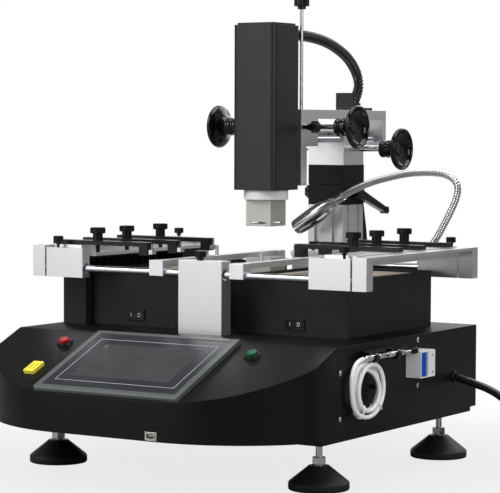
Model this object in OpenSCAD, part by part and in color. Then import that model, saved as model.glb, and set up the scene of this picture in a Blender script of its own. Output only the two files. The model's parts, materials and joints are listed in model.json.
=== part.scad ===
// Three-zone BGA rework station: console chassis on levelling feet, two lower infrared heaters,
// a rod-guided board fixture and a top hot-air head on a two-axis rack-and-pinion arm.
// Millimetres. +X to the operator's right, +Y to the back, +Z up, floor at z = 0.

/* [Chassis] */
// Width over the side covers
body_w = 508; // [480:1:560]
// Distance from the console's front wall to the chassis centre line
front_reach = 303; // [290:1:320]
// Distance from the top of the console slope to the chassis centre line
slope_reach = 149; // [140:1:155]
// Distance from the back wall to the chassis centre line
back_reach = 249; // [245:1:256]
// Height of the deck above the floor
deck_z = 188.4; // [180:0.1:200]
// Height of the lower edge of the walls
base_z = 72.7; // [68:0.1:80]
// Tilt of the console slope
slope_deg = 22.8; // [20:0.1:24]
// Radius of the bowed front corners
corner_r = 200; // [160:1:230]
// Half spacing of the bow centres
corner_x = 79; // [60:1:100]
// Sheet thickness of shell and covers
wall = 2; // [1.5:0.1:3]
// Thickness of the bottom pan
pan_t = 6.7; // [4:0.1:10]
// Distance from the bottom pan's front edge to the centre line
pan_front = 182; // [170:1:190]
// Distance from the bottom pan's back edge to the centre line
pan_back = 236; // [225:1:245]

/* [Feet] */
// Diameter of a foot pad
foot_d = 80; // [60:1:90]
// Height of a foot pad
foot_h = 31; // [25:1:36]
// Half spacing of the feet across the chassis
foot_x = 211; // [190:1:215]
// Distance of the front feet from the centre line
foot_front = 118; // [100:1:140]
// Distance of the back feet from the centre line
foot_back = 218; // [190:1:222]
// Diameter of the levelling studs
stud_d = 9; // [8:1:12]

/* [Console] */
// Width of the touch panel
panel_w = 227; // [200:1:240]
// Length of the touch panel along the slope
panel_l = 161; // [140:1:164]
// Height of the touch panel above the slope
panel_t = 6; // [4:0.5:8]
// Width of the panel's glass
glass_w = 209; // [190:1:212]
// Length of the panel's glass
glass_l = 143; // [120:1:146]
// Half spacing of the push buttons
button_x = 150; // [135:1:165]
// Diameter of a push button's ring
button_d = 23; // [18:1:28]
// Travel of a push button
button_travel = 3; // [2:0.5:4]

/* [Heaters] */
// Half gap between the heater boxes
heater_in = 29.5; // [28:0.5:32]
// Middle of the heater pair
heater_x = 4; // [0:0.5:5]
// Width of a heater box
heater_w = 178.5; // [160:0.5:180]
// Distance of the heater fronts from the centre line
heater_front = 46; // [30:1:60]
// Distance of the heater backs from the centre line
heater_back = 190; // [170:1:193]
// Height of a heater box
heater_h = 78.6; // [60:0.1:79]
// Tile columns in a heater box
tile_cols = 2; // [1:1:4]
// Tile rows in a heater box
tile_rows = 3; // [1:1:5]
// Width of a rocker switch frame
rocker_w = 31; // [25:1:36]
// Height of a rocker switch frame
rocker_h = 16; // [13:1:20]
// Width of the cooling fan's housing
fan_w = 39; // [30:1:42]
// Height of the cooling fan's housing
fan_h = 66; // [50:1:67]
// Distance of the fan housing's front from the centre line
fan_front = 61; // [50:1:70]

/* [Fixture] */
// Diameter of the fixture rods
rod_d = 10; // [8:0.5:12]
// Height of the rod axes
rod_z = 269.6; // [269:0.1:272]
// Distance of the front rod from the centre line
rod_front = 91; // [85:1:95]
// Distance of the back rod from the centre line
rod_back = 211; // [208:1:216]
// Width of a centre post
post_w = 69.5; // [50:0.5:80]
// Offset of the centre posts from the middle
post_x = 13.2; // [5:0.1:14]
// Depth of a centre post
post_d = 23; // [20:1:23]
// Half width over the end frames
frame_half = 269.3; // [265:0.1:275]
// Width of an end frame
frame_w = 21; // [16:0.5:22]
// Width of a carriage block
block_w = 62.5; // [50:0.5:70]
// Depth of the blocks and end frames
block_d = 17; // [14:0.5:18]
// Height of the end frames' top face
frame_top = 300.5; // [299:0.1:304]
// Height of the carriage blocks' top face
block_top = 298; // [295:0.1:299]
// Height of the carriage rail's top face
rail_top = 301.7; // [301:0.1:304]
// Length of a clamp arm
arm_l = 162; // [150:1:168]
// Width of a clamp arm
arm_w = 14; // [10:1:18]
// Thickness of a clamp arm
arm_t = 6; // [5:0.5:8]
// Outer end of the clamp arms from the middle
arm_out = 252; // [248:1:256]
// Places of the left clamp arms along the rail
left_arms = [-69, 1, 85]; // [-75:1:100]
// Places of the right clamp arms along the rail
right_arms = [25, 90, 170]; // [-75:1:175]
// Width of a support bar's end block
bar_block = 22.5; // [18:0.5:24]
// Middle of the left support bar
bar_left = -58.5; // [-64:0.5:-52]
// Middle of the right support bar
bar_right = 71; // [68:0.5:76]

/* [Column and arm] */
// Width and depth of the column
column_w = 60; // [50:1:64]
// Height of the column's top
column_top = 353; // [340:1:356]
// Height of the clamp block
clamp_h = 59; // [50:1:62]
// Height of the bearing block
bearing_h = 48; // [47:1:54]
// Thickness of the column's mounting plate
bracket_t = 8; // [6:1:10]
// Half width of the slide arm
slide_half = 35; // [33:1:40]
// Height of the slide arm's top face above the bearing block
slide_rise = 33; // [30:1:40]
// Thickness of the slide arm's top plate
slide_plate = 13; // [8:1:15]
// Length of the slide arm's front block
slide_front = 47; // [40:1:55]
// Clear length of the slide arm's window
slide_window = 193; // [170:1:195]
// Length of the slide arm's rear block
slide_rear = 10; // [9:1:16]
// Diameter of the slide arm's rods
slide_rod_d = 10; // [7:0.5:10]
// Half spacing of the slide arm's rods
slide_rod_x = 23; // [19:0.5:23]
// Diameter of the handwheel shafts
shaft_d = 8; // [6:0.5:9]
// Diameter of a handwheel's rim
wheel_d = 62; // [50:1:70]
// Inner end of the lift handwheels' hubs from the middle
lift_wheel_x = 83; // [75:1:95]
// Inner end of the slide handwheels' hubs from the middle
slide_wheel_x = 78; // [70:1:90]

/* [Head] */
// Width and depth of the head's housing
head_w = 70; // [60:1:76]
// Height of the head's housing
head_h = 232; // [200:1:250]
// Height of the housing's lower face
head_z = 379; // [370:1:390]
// Distance of the nozzle axis behind the centre line
head_y = 89; // [80:1:95]
// Diameter of the nozzle flange
flange_d = 63; // [50:1:66]
// Height of the nozzle flange
flange_h = 14; // [10:1:16]
// Width of the nozzle
nozzle_w = 41; // [30:1:50]
// Height of the nozzle
nozzle_h = 37; // [30:1:45]
// Wall of the nozzle
nozzle_wall = 2; // [1:0.5:4]
// Diameter of the cable conduit
conduit_d = 13; // [10:0.5:14]

/* [Lamp, pen and cord] */
// Diameter of the lamp's gooseneck
neck_d = 10.5; // [8:0.5:11]
// Largest diameter of the lamp's shade
shade_d = 27; // [24:1:30]
// Diameter of the suction pen
pen_d = 8; // [7:0.5:10]
// Diameter of the suction hose
hose_d = 6; // [5:0.5:7]
// Diameter of the power cord
cord_d = 11; // [9:0.5:11]

/* [Hidden] */
$fn = 64;
fit = 0.05; // radial running clearance
gap = 0.3; // clearance between pieces that move past each other
front_y = -front_reach;
slope_y = -slope_reach;
back_y = back_reach;
half_w = body_w / 2;
pan_z = base_z - pan_t;
// Heater boxes
heater_top = deck_z + heater_h;
heater_y = -heater_front;
heater_len = heater_front + heater_back;
tile_t = 12;
tile_sink = 4;
tile_room = tile_t + tile_sink;
tile_gap = 2;
rocker_x = 130;
rocker_z = deck_z + 16;
rocker_tilt = 9;
// Fixture
rod_r = rod_d / 2;
rods_y = [-rod_front, rod_back];
block_lap = 9;
block_z0 = rod_z - 12.6;
block_out = frame_half - frame_w - 2.8;
block_in = block_out - block_w;
rail_t = 14.7;
ledge_t = 4.5;
ledge_w = 24;
ledge_over = 10;
frame_bar_t = 4;
post_top = rod_z + 18.4;
arm_z = rail_top + gap;
arm_in = arm_out - arm_l;
arm_stud_d = 6;
arm_stud_x = block_in - 4;
bar_top = rod_z + 16.4;
bar_t = 8;
bar_w = 14;
bar_drop = 4.6;
bar_pin_d = 5;
bar_pin_h = 15;
// Column and arm
column_front = back_y + bracket_t;
column_y = column_front + column_w / 2;
column_z0 = base_z + 8;
clamp_top = column_top + clamp_h;
bearing_top = clamp_top + bearing_h;
slide_top = bearing_top + slide_rise;
clamp_screw_z = column_top + 18;
module_size = 1;
rack_w = 10;
rack_room = rack_w / 2 + 1;
slide_pinion_n = 32;
slide_pinion_r = slide_pinion_n * module_size / 2;
slide_shaft_z = clamp_top + 24;
slide_rack_z = slide_shaft_z + slide_pinion_r;
slide_rod_z = clamp_top + 38.5;
slide_z0 = slide_rod_z - 10;
lift_pinion_n = 18;
lift_pinion_r = lift_pinion_n * module_size / 2;
head_back = head_y + head_w / 2;
lift_shaft_y = head_back + 22;
lift_shaft_z = slide_top - 25;
lift_rack_y = lift_shaft_y - lift_pinion_r;
slide_y0 = head_back + 3;
window_y0 = slide_y0 + slide_front;
window_y1 = window_y0 + slide_window;
slide_y1 = window_y1 + slide_rear;
guide_z0 = slide_z0 - 56;
guide_t = 16;
rod_bite = 24;
rear_bite = slide_rear - 2;
// Breaker and data port
usb_lip = 1;
breaker_out = 23;
toggle_r = 9.4;
toggle_proud = 0.8;
toggle_x = half_w + breaker_out + toggle_proud - toggle_r;
// Middle of the footprint, where the part's origin lies
mid_x = (toggle_x + toggle_r - frame_half) / 2;
mid_y = (slide_y1 + front_y - usb_lip) / 2;
// Routes of the soft pieces, chosen by hand
conduit_x = 10;
conduit_seat_y = 321;
// Each point is a distance to the back and a height above the slide arm
conduit_route = [
    [124, 107], [132, 107], [144, 107], [178, 106], [206, 104], [235, 100], [264, 93], [294, 82],
    [317, 68], [332, 52], [336, 37], [331, 24], [323, 14], [321, 8], [321, 6], [321, 4.3]
];
lamp_x = 150;
lamp_y = 234;
lamp_base_h = 18;
neck_route = [
    [150, 234, 206], [150, 234, 222], [155, 234, 243], [168, 234, 268], [183, 234, 292],
    [198, 234, 312], [212, 234, 336], [225, 234, 361], [230, 234, 379], [226, 234, 392],
    [212, 233, 400.5], [190, 232, 403.5], [156, 230, 402], [124, 228, 396], [92, 225, 387],
    [61, 222, 374], [43, 222, 363]
];
shade_from = [43, 222, 363];
shade_tilt = 59;
shade_l = 83;
pen_x = half_w + 16;
pen_z = 171.3;
pen_y0 = -98.8;
pen_l = 98.4;
pen_tail = 9;
coil_y = -90.3;
coil_z = 129.5;
coil_r = 34.5;
coil_half = 8.5;
coil_band = 14;
coil_thick = 14;
hose_route = [
    [270, -107.8, 171.3], [270, -110, 171.3], [270, -112.5, 171.3], [270, -118.7, 170.5], [270, -124.5, 168.1],
    [270, -129.5, 164.3], [270, -133.3, 159.3], [270, -135.7, 153.5], [270, -136.5, 147.3], [269.6, -136.2, 142],
    [269.2, -135.7, 137], [269, -135.3, 133]
];
gland_y = 180;
gland_z = 120.5;
gland_l = 3;
cord_route = [
    [257, 180, 120.5], [266, 180, 118.1], [275, 180, 115.7], [288, 180, 112.2], [300.4, 180, 108.8],
    [312, 180, 104.6], [324, 180, 98.6], [336, 180, 90.3], [344, 180, 82.4], [350.7, 180, 73.5],
    [360, 180, 60.2], [370, 180, 45.9], [380.4, 180, 31.1], [390.6, 180, 19.8]
];
coil_centre = [429.5, 245.8, 0];
coil_mean = 60;
coil_rows = 2;

// Unit vector, and one point of a smooth curve through the points of p
function unit(v) = v / norm(v);
function curve_at(p, i, t) =
    let (
        n = len(p) - 1,
        a = p[max(i - 1, 0)],
        b = p[i],
        c = p[i + 1],
        d = p[min(i + 2, n)]
    )
    b + 0.5 * t * (c - a + t * (2 * a - 5 * b + 4 * c - d + t * (3 * (b - c) + d - a)));
function smooth(p, n) = concat(
    [for (i = [0:len(p) - 2]) for (k = [0:n - 1]) curve_at(p, i, k / n)],
    [p[len(p) - 1]]
);
function heading(p, i) = unit(p[min(i + 1, len(p) - 1)] - p[max(i - 1, 0)]);

// Round tube swept along p; aside is a direction that the route never takes
module tube(p, d, sides, aside) {
    rings = [
        for (i = [0:len(p) - 1])
            let (t = heading(p, i), u = unit(cross(aside, t)), w = cross(t, u))
            for (k = [0:sides - 1]) p[i] + d / 2 * (cos(360 * k / sides) * u + sin(360 * k / sides) * w)
    ];
    last = (len(p) - 1) * sides;
    skin = [
        for (i = [0:len(p) - 2]) for (k = [0:sides - 1])
            let (n = (k + 1) % sides)
            [i * sides + k, (i + 1) * sides + k, (i + 1) * sides + n, i * sides + n]
    ];
    caps = [[for (k = [0:sides - 1]) k], [for (k = [sides - 1:-1:0]) last + k]];
    polyhedron(points = rings, faces = concat(skin, caps), convexity = 10);
}

// Box between two corners
module block(low, high) translate(low) cube(high - low);

// Cylinder along X, or along Y, from one end to the other
module bar_x(x0, x1, y, z, r) translate([x0, y, z]) rotate([0, 90, 0]) cylinder(r = r, h = x1 - x0);
module bar_y(y0, y1, x, z, r) translate([x, y0, z]) rotate([-90, 0, 0]) cylinder(r = r, h = y1 - y0);

// Upright box with round vertical edges
module round_box(low, high, r) {
    block(low + [r, 0, 0], high - [r, 0, 0]);
    block(low + [0, r, 0], high - [0, r, 0]);
    for (x = [low.x + r, high.x - r], y = [low.y + r, high.y - r])
        translate([x, y, low.z]) cylinder(r = r, h = high.z - low.z);
}

// Places children on the console slope: z stands out of it, y runs up it, s is the distance down it
module on_slope(x, s) translate([x, slope_y, deck_z]) rotate([slope_deg, 0, 0]) translate([0, -s, 0]) children();

// Both sides of the chassis
module both_sides() {
    children();
    mirror([1, 0, 0]) children();
}

// Six-lobed clamp knob standing on z = 0, with a collar below its head
module star_knob(d, collar_d, collar_h, head_t) {
    lobe = d * 0.15;
    cylinder(d = collar_d, h = collar_h + 1);
    translate([0, 0, collar_h]) {
        cylinder(r = d * 0.4, h = head_t);
        for (a = [0:60:300]) rotate(a) translate([d / 2 - lobe, 0, 0.5]) cylinder(r = lobe, h = head_t - 1);
    }
}

// Spur gear round z, standing on z = 0, one tooth centred on +X
module pinion(teeth, t) {
    r = teeth * module_size / 2;
    pitch = 360 / teeth;
    root = r - 1.2 * module_size;
    tip = r + 0.8 * module_size;
    linear_extrude(t) polygon([
        for (i = [0:teeth - 1]) for (c = [[root, -0.31], [r, -0.2], [tip, -0.1], [tip, 0.1], [r, 0.2], [root, 0.31]])
            c[0] * [cos(pitch * (i + c[1])), sin(pitch * (i + c[1]))]
    ]);
}

// Row of rack teeth: gaps centred on x = 0, teeth pointing to +Y from the root line, over length along X
module rack_teeth(x0, x1, t) {
    pitch = PI * module_size;
    n0 = ceil(x0 / pitch);
    n1 = floor(x1 / pitch) - 1;
    foot = -1.1 * module_size;
    tip = 0.8 * module_size;
    linear_extrude(t) for (i = [n0:n1]) translate([(i + 0.5) * pitch, 0])
        polygon([[-1.05, foot - 0.1], [1.05, foot - 0.1], [1.05, foot], [0.36, tip], [-0.36, tip], [-1.05, foot]]);
}

// Dished handwheel on +X, hub towards the middle
module handwheel(x, y, z) {
    rim = wheel_d / 2;
    translate([x, y, z]) rotate([0, 90, 0]) rotate_extrude() polygon([
        [0, 0], [12, 0], [13, 1], [13, 5], [12, 6], [12, 9], [13, 10], [13, 16], [16, 20], [rim - 9, 25],
        [rim - 3, 28], [rim, 31], [rim, 34], [rim - 2, 36.5], [rim - 4.5, 36.5], [rim - 8, 32], [14, 28],
        [9, 27], [7, 30], [0, 30]
    ]);
}

// Plan outline of the chassis, drawn in by inset, from z0 to z1
module plan(inset, z0, z1) {
    h = z1 - z0;
    bow_y = front_y + corner_r;
    intersection() {
        block([inset - half_w, front_y + inset, z0], [half_w - inset, back_y - inset, z1]);
        union() {
            for (x = [-corner_x, corner_x]) translate([x, bow_y, z0]) cylinder(r = corner_r - inset, h = h);
            block([-corner_x, front_y + inset, z0], [corner_x, bow_y, z1]);
            block([-body_w, bow_y, z0], [body_w, back_y, z1]);
        }
    }
}

// Everything above the console slope lowered by inset
module above_slope(inset) {
    on_slope(0, 0) block([-body_w, -body_w, -inset], [body_w, body_w, body_w]);
}

// Cuts in the shell and the right cover
breaker_size = [40, 36];
breaker_low = [38, 133];
module side_cuts() {
    block([half_w - 20, breaker_low[0], breaker_low[1]], [half_w + 5, breaker_low[0] + breaker_size[0],
        breaker_low[1] + breaker_size[1]]);
    bar_x(half_w - 20, half_w + 5, gland_y, gland_z, 7);
}

button_s = 37;
socket_s = 97;
socket_x = -150;
socket_w = 17;
socket_l = 27;
usb_at = [75, 79.5];
usb_w = 14;
usb_h = 7;
usb_deep = 14;
module chassis_shell() color("#1b1b1d") difference() {
    plan(0, base_z, deck_z);
    above_slope(0);
    difference() {
        plan(2 * wall, base_z - 1, deck_z - wall);
        above_slope(wall);
    }
    both_sides() block([half_w - wall, slope_y, base_z - 1], [half_w + 5, back_y + 5, deck_z + 1]);
    side_cuts();
    for (x = [-button_x, button_x]) on_slope(x, button_s) translate([0, 0, -10]) cylinder(d = button_d - 4, h = 20);
    on_slope(socket_x, socket_s) block([-socket_w / 2 + 2, -socket_l + 2, -10], [socket_w / 2 - 2, -2, 10]);
    on_slope(0, panel_s)
        block([-glass_w / 2, -glass_l / 2, -10], [glass_w / 2, glass_l / 2, 10]);
    block([usb_at[0] - usb_w / 2, front_y - 5, usb_at[1] - usb_h / 2],
        [usb_at[0] + usb_w / 2, front_y + 20, usb_at[1] + usb_h / 2]);
}

module bottom_pan() color("#202022") {
    plan(2 * wall, base_z, base_z + wall);
    block([wall - half_w, -pan_front, pan_z], [half_w - wall, pan_back, base_z]);
}

module side_covers() color("#1d1d1f") {
    difference() {
        block([half_w - wall, slope_y, base_z], [half_w, back_y, deck_z]);
        side_cuts();
    }
    mirror([1, 0, 0]) block([half_w - wall, slope_y, base_z], [half_w, back_y, deck_z]);
}

// Repeats children at the four feet
module at_feet() {
    for (x = [-foot_x, foot_x], y = [-foot_front, foot_back]) translate([x, y, 0]) children();
}

stud_sink = 9;
pad_lip = 9;
pad_top = 16;
module foot_pads() color("#151515") at_feet() difference() {
    r = foot_d / 2;
    rotate_extrude() polygon([
        [0, 0], [r - 1, 0], [r, 1.5], [r, pad_lip], [r - 1.5, pad_lip + 2],
        [pad_top, foot_h - 2], [pad_top - 2, foot_h], [0, foot_h]
    ]);
    translate([0, 0, foot_h - stud_sink]) cylinder(d = stud_d, h = stud_sink + 1);
}

stud_collar = 2;
thin_nut = 6;
module foot_studs() color("#b9bcc0") at_feet() {
    translate([0, 0, foot_h - stud_sink]) cylinder(d = stud_d, h = pan_z - foot_h + stud_sink);
    translate([0, 0, foot_h]) cylinder(d = stud_d * 1.7, h = stud_collar);
    translate([0, 0, foot_h + stud_collar]) cylinder(r = stud_d * 1.1, h = stud_d, $fn = 6);
    translate([0, 0, pan_z - thin_nut]) cylinder(r = stud_d * 1.1, h = thin_nut, $fn = 6);
}

panel_s = (front_reach - slope_reach) / cos(slope_deg) / 2;
glass_t = 2;
module panel_bezel() color("#c9cfc8") on_slope(0, panel_s) difference() {
    intersection() {
        round_box([-panel_w / 2, -panel_l / 2, 0], [panel_w / 2, panel_l / 2, panel_t], 4);
        rotate([0, 90, 0]) linear_extrude(2 * panel_w, center = true) polygon([
            [0, -panel_l / 2], [0, panel_l / 2], [-panel_t + 2, panel_l / 2], [-panel_t, panel_l / 2 - 2],
            [-panel_t, 2 - panel_l / 2], [-panel_t + 2, -panel_l / 2]
        ]);
    }
    block([-glass_w / 2, -glass_l / 2, panel_t - glass_t], [glass_w / 2, glass_l / 2, panel_t + 1]);
}

module panel_screen() color("#8d9296") on_slope(0, panel_s)
    block([-glass_w / 2, -glass_l / 2, panel_t - glass_t], [glass_w / 2, glass_l / 2, panel_t - 0.6]);

ring_t = 4;
cap_d = button_d - 8;
module switch_bezels() color("#141414") {
    for (x = [-button_x, button_x]) on_slope(x, button_s) difference() {
        union() {
            cylinder(d1 = button_d, d2 = button_d - 3, h = ring_t);
            translate([0, 0, -8]) cylinder(d = button_d - 4, h = 8);
        }
        translate([0, 0, -6]) cylinder(d = cap_d + 2 * gap, h = 20);
    }
    both_sides() translate([rocker_x, heater_y, rocker_z]) difference() {
        block([-rocker_w / 2, -2, -rocker_h / 2], [rocker_w / 2, 0, rocker_h / 2]);
        block([2 - rocker_w / 2, -5, 2 - rocker_h / 2], [rocker_w / 2 - 2, 5, rocker_h / 2 - 2]);
    }
}

// Push button whose cap stands proud of its ring, at rest against the front of its well
module push_button(x) on_slope(x, button_s) {
    translate([0, 0, button_travel - 6 + gap]) cylinder(d = cap_d, h = ring_t + 8 - button_travel);
    translate([0, 0, ring_t + 2 + gap]) cylinder(d1 = cap_d, d2 = cap_d - 3, h = 1.5);
}
module red_button() color("#c8201c") push_button(-button_x);
module green_button() color("#12815a") push_button(button_x);

module thermocouple_socket() color("#e3c51c") on_slope(socket_x, socket_s) difference() {
    union() {
        round_box([-socket_w / 2, -socket_l, 0], [socket_w / 2, 0, 5], 2);
        block([-socket_w / 2 + 2, -socket_l + 2, -8], [socket_w / 2 - 2, -2, 1]);
    }
    for (x = [-3.5, 3.5]) block([x - 1, -socket_l + 6, -4], [x + 1, -6, 10]);
}

module usb_port() color("#c4c7ca") translate([usb_at[0], front_y, usb_at[1]]) {
    difference() {
        union() {
            block([-usb_w / 2, 0, -usb_h / 2], [usb_w / 2, usb_deep, usb_h / 2]);
            block([-usb_w / 2 - 2, -usb_lip, -usb_h / 2 - 2], [usb_w / 2 + 2, 0, usb_h / 2 + 2]);
        }
        block([-usb_w / 2 + 0.8, -5, -usb_h / 2 + 0.9], [usb_w / 2 - 0.8, usb_deep - 2, usb_h / 2 - 0.9]);
    }
    block([-usb_w / 2 + 2, 1.5, -0.2], [usb_w / 2 - 2, usb_deep, 1.6]);
}

toggle_y = breaker_low[0] + toggle_r + 1.5;
toggle_h = 32;
breaker_mid = breaker_low[1] + breaker_size[1] / 2;
module breaker_body() color("#e8e8e4") difference() {
    union() {
        block([half_w - 14, breaker_low[0], breaker_low[1]],
            [half_w + breaker_out, breaker_low[0] + breaker_size[0], breaker_low[1] + breaker_size[1]]);
    }
    translate([toggle_x, toggle_y, breaker_mid - toggle_h / 2 - gap])
        cylinder(r = toggle_r + gap, h = toggle_h + 2 * gap);
    block([toggle_x, toggle_y - toggle_r - gap, breaker_mid - toggle_h / 2 - gap],
        [half_w + 60, toggle_y + toggle_r + gap, breaker_mid + toggle_h / 2 + gap]);
}
module breaker_toggle() color("#1f5fb4") translate([toggle_x, toggle_y, breaker_mid - toggle_h / 2]) difference() {
    cylinder(r = toggle_r, h = toggle_h);
    for (a = [-8, 24, 56]) rotate(a) translate([toggle_r, 0, -1]) cylinder(r = 0.8, h = toggle_h + 2);
}

module cord_gland() color("#141414") {
    translate([half_w, gland_y, gland_z]) rotate([0, 90, 0]) rotate_extrude() polygon([
        [0, -8], [7, -8], [7, 0], [8, 0], [8, gland_l - 1], [7, gland_l], [0, gland_l]
    ]);
}
module power_cord() color("#101010") tube(smooth(cord_route, 3), cord_d, 10, [-0.7, 0.7, 0.25]);

// Wound part of the cord: its outer shape
coil_w = (coil_rows + 0.2) * cord_d;
module cord_coil() color("#101010") translate(coil_centre) rotate_extrude()
    translate([coil_mean - coil_w / 2, 0]) square([coil_w, 2 * cord_d]);

plug_r = 13;
plug_l = 36;
plug_tail_r = 6;
pin_l = 18;
pin_r = 2.4;
// Outer lane of the winding, which runs straight out of it to the plug beside it
lane_r = coil_mean + 0.53 * cord_d;
plug_y = sqrt(pow(coil_mean + coil_w / 2, 2) - pow(lane_r - plug_tail_r, 2)) + gap;
module plug() color("#121212") translate(coil_centre + [lane_r, plug_y, plug_r]) {
    rotate([-90, 0, 0]) rotate_extrude() polygon([
        [0, 0], [plug_tail_r, 0], [8, plug_l * 0.3], [plug_r, plug_l * 0.45], [plug_r, plug_l], [0, plug_l]
    ]);
    for (x = [-6, 6]) bar_y(plug_l - 1, plug_l + pin_l, x, 0, pin_r);
}

clip_y = [-80, -20];
clip_w = 8;
holder_t = 7;
module pen_holder() color("#161616") {
    for (y = clip_y) difference() {
        union() {
            block([half_w, y - clip_w / 2, pen_z - 6], [half_w + 10, y + clip_w / 2, pen_z + 6]);
            bar_y(y - clip_w / 2, y + clip_w / 2, pen_x, pen_z, pen_d / 2 + 3);
            block([half_w + 5, y - clip_w / 2, pen_z - 6], [pen_x, y + clip_w / 2, pen_z]);
        }
        bar_y(y - clip_w, y + clip_w, pen_x, pen_z, pen_d / 2);
        block([pen_x - pen_d / 2, y - clip_w, pen_z], [pen_x + pen_d / 2, y + clip_w, pen_z + 30]);
    }
    block([half_w, clip_y[0] - clip_w, pen_z - 4], [half_w + holder_t, clip_y[1] + clip_w, pen_z + 8]);
    bar_x(half_w, pen_x - coil_thick / 2 - 4, coil_y + coil_half + coil_r - coil_band / 2, coil_z, 3);
}

module suction_pen() color("#d5d8dc") translate([pen_x, pen_y0, pen_z]) rotate([-90, 0, 0]) rotate_extrude() {
    r = pen_d / 2;
    polygon([
        [0, -pen_tail], [2, -pen_tail], [2, -2], [r - 1, 0], [r, 1], [r, pen_l - 6], [r - 1, pen_l],
        [2.4, pen_l + 3],
        [2, pen_l + 20], [3, pen_l + 21], [5, pen_l + 25], [5, pen_l + 32], [4, pen_l + 33], [0, pen_l + 30]
    ]);
}
module suction_hose() color("#f2f3f2") tube(smooth(hose_route, 3), hose_d, 8, [1, 0, 0]);
module hose_coil() color("#f2f3f2") translate([pen_x - 4 - coil_thick / 2, coil_y, coil_z]) difference() {
    oval(coil_r, 0, coil_thick);
    oval(coil_r - coil_band, -1, coil_thick + 1);
}

// Upright oval plate across X, as wide as the hose's coil
module oval(r, x0, x1) {
    for (y = [-coil_half, coil_half]) bar_x(x0, x1, y, 0, r);
    block([x0, -coil_half, -r], [x1, coil_half, r]);
}

module heater_boxes() color("#1a1a1c") difference() {
    translate([heater_x, 0, 0]) both_sides() difference() {
        block([heater_in, heater_y, deck_z], [heater_in + heater_w, heater_back, heater_top]);
        block([heater_in + wall, heater_y + wall, heater_top - tile_room],
            [heater_in + heater_w - wall, heater_back - wall, heater_top + 1]);
        block([heater_in + wall, heater_y + wall, deck_z - 1],
            [heater_in + heater_w - wall, heater_back - wall, heater_top - tile_room - wall]);
    }
    for (x = [-rocker_x, rocker_x]) translate([x, heater_y, rocker_z])
        block([2 - rocker_w / 2, -5, 2 - rocker_h / 2], [rocker_w / 2 - 2, 14, rocker_h / 2 - 2]);
}

// Ceramic infrared tiles in both heater boxes
module heater_tiles() color("#cbbfa6") translate([heater_x, 0, 0]) both_sides() {
    tile_w = (heater_w - 2 * wall - tile_gap * (tile_cols + 1)) / tile_cols;
    tile_l = (heater_len - 2 * wall - tile_gap * (tile_rows + 1)) / tile_rows;
    for (i = [0:tile_cols - 1], k = [0:tile_rows - 1])
        translate([
            heater_in + wall + tile_gap + i * (tile_w + tile_gap),
            heater_y + wall + tile_gap + k * (tile_l + tile_gap),
            heater_top - tile_room
        ]) cube([tile_w, tile_l, tile_t]);
}

// Rocker switch tilted about its upright middle line
module rocker() {
    w = rocker_w - 4 - 2 * gap;
    h = rocker_h - 4 - 2 * gap;
    rotate(rocker_tilt) linear_extrude(h, center = true) polygon([
        [-w / 2 + 0.6, 2], [-w / 2 + 0.6, -3.2], [0, -2], [w / 2 - 0.6, -3.2], [w / 2 - 0.6, 2], [0, 6]
    ]);
}
module left_rocker() color("#0f0f0f") translate([-rocker_x, heater_y, rocker_z]) rocker();
module right_rocker() color("#0f0f0f") translate([rocker_x, heater_y, rocker_z]) rocker();

// Cooling fan's housing beside the left heater, with its outlet slots on top
fan_slots = 14;
module fan_housing() color("#19191b") {
    x1 = heater_x - heater_in - heater_w - 2;
    pitch = (fan_front + heater_back - 30) / fan_slots;
    difference() {
        block([x1 - fan_w, -fan_front, deck_z], [x1, heater_back, deck_z + fan_h]);
        block([x1 - fan_w + wall, wall - fan_front, deck_z - 1],
            [x1 - wall, heater_back - wall, deck_z + fan_h - wall]);
        for (i = [0:fan_slots - 1]) translate([x1 - fan_w / 2, 15 - fan_front + (i + 0.5) * pitch, deck_z + fan_h])
            cube([fan_w - 14, 4, 12], center = true);
    }
}

lower_r = 23;
lower_top = rod_z + 14;
module lower_heater() color("#a9a9a4") translate([0, head_y, 0]) difference() {
    union() {
        translate([0, 0, deck_z]) cylinder(r = lower_r, h = lower_top - 26 - deck_z);
        block([-nozzle_w / 2, -nozzle_w / 2, lower_top - 26], [nozzle_w / 2, nozzle_w / 2, lower_top]);
    }
    block([nozzle_wall - nozzle_w / 2, nozzle_wall - nozzle_w / 2, lower_top - 22],
        [nozzle_w / 2 - nozzle_wall, nozzle_w / 2 - nozzle_wall, lower_top + 1]);
}

// Posts that carry the fixture rods in ring bushes
module rod_posts() color("#c9cacc") {
    for (i = [0, 1]) {
        out = i == 0 ? rods_y[0] - block_lap : rods_y[1] + block_lap;
        inn = i == 0 ? out + post_d : out - post_d;
        difference() {
            block([post_x - post_w / 2, min(out, inn), deck_z], [post_x + post_w / 2, max(out, inn), post_top]);
            bar_x(post_x - post_w, post_x + post_w, rods_y[i], rod_z, rod_r + fit);
            for (s = [-1, 1]) translate([post_x + s * post_w / 2, rods_y[i], rod_z]) rotate([0, 90, 0])
                cylinder(r = rod_r + 2.5, h = 8, center = true);
        }
    }
}
post_knob_d = 17;
module post_knobs() color("#121212") for (y = rods_y) translate([post_x - 5, y, post_top])
    star_knob(post_knob_d, 9, 4, 9);

module fixture_rods() color("#cfd3da") for (y = rods_y)
    bar_x(-frame_half + frame_w / 2, frame_half - frame_w / 2, y, rod_z, rod_r);

module end_frames() color("#d2d3d4") both_sides() difference() {
    x0 = frame_half - frame_w;
    y0 = rods_y[0] - block_lap;
    y1 = rods_y[1] + block_lap;
    union() {
        block([x0, y0, block_z0], [frame_half, y0 + block_d, frame_top]);
        block([x0, y1 - block_d, block_z0], [frame_half, y1, frame_top]);
        block([x0, y0, frame_top - frame_bar_t], [frame_half, y1, frame_top]);
    }
    for (y = rods_y) bar_x(x0 - 1, frame_half - frame_w / 2, y, rod_z, rod_r);
}

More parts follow.
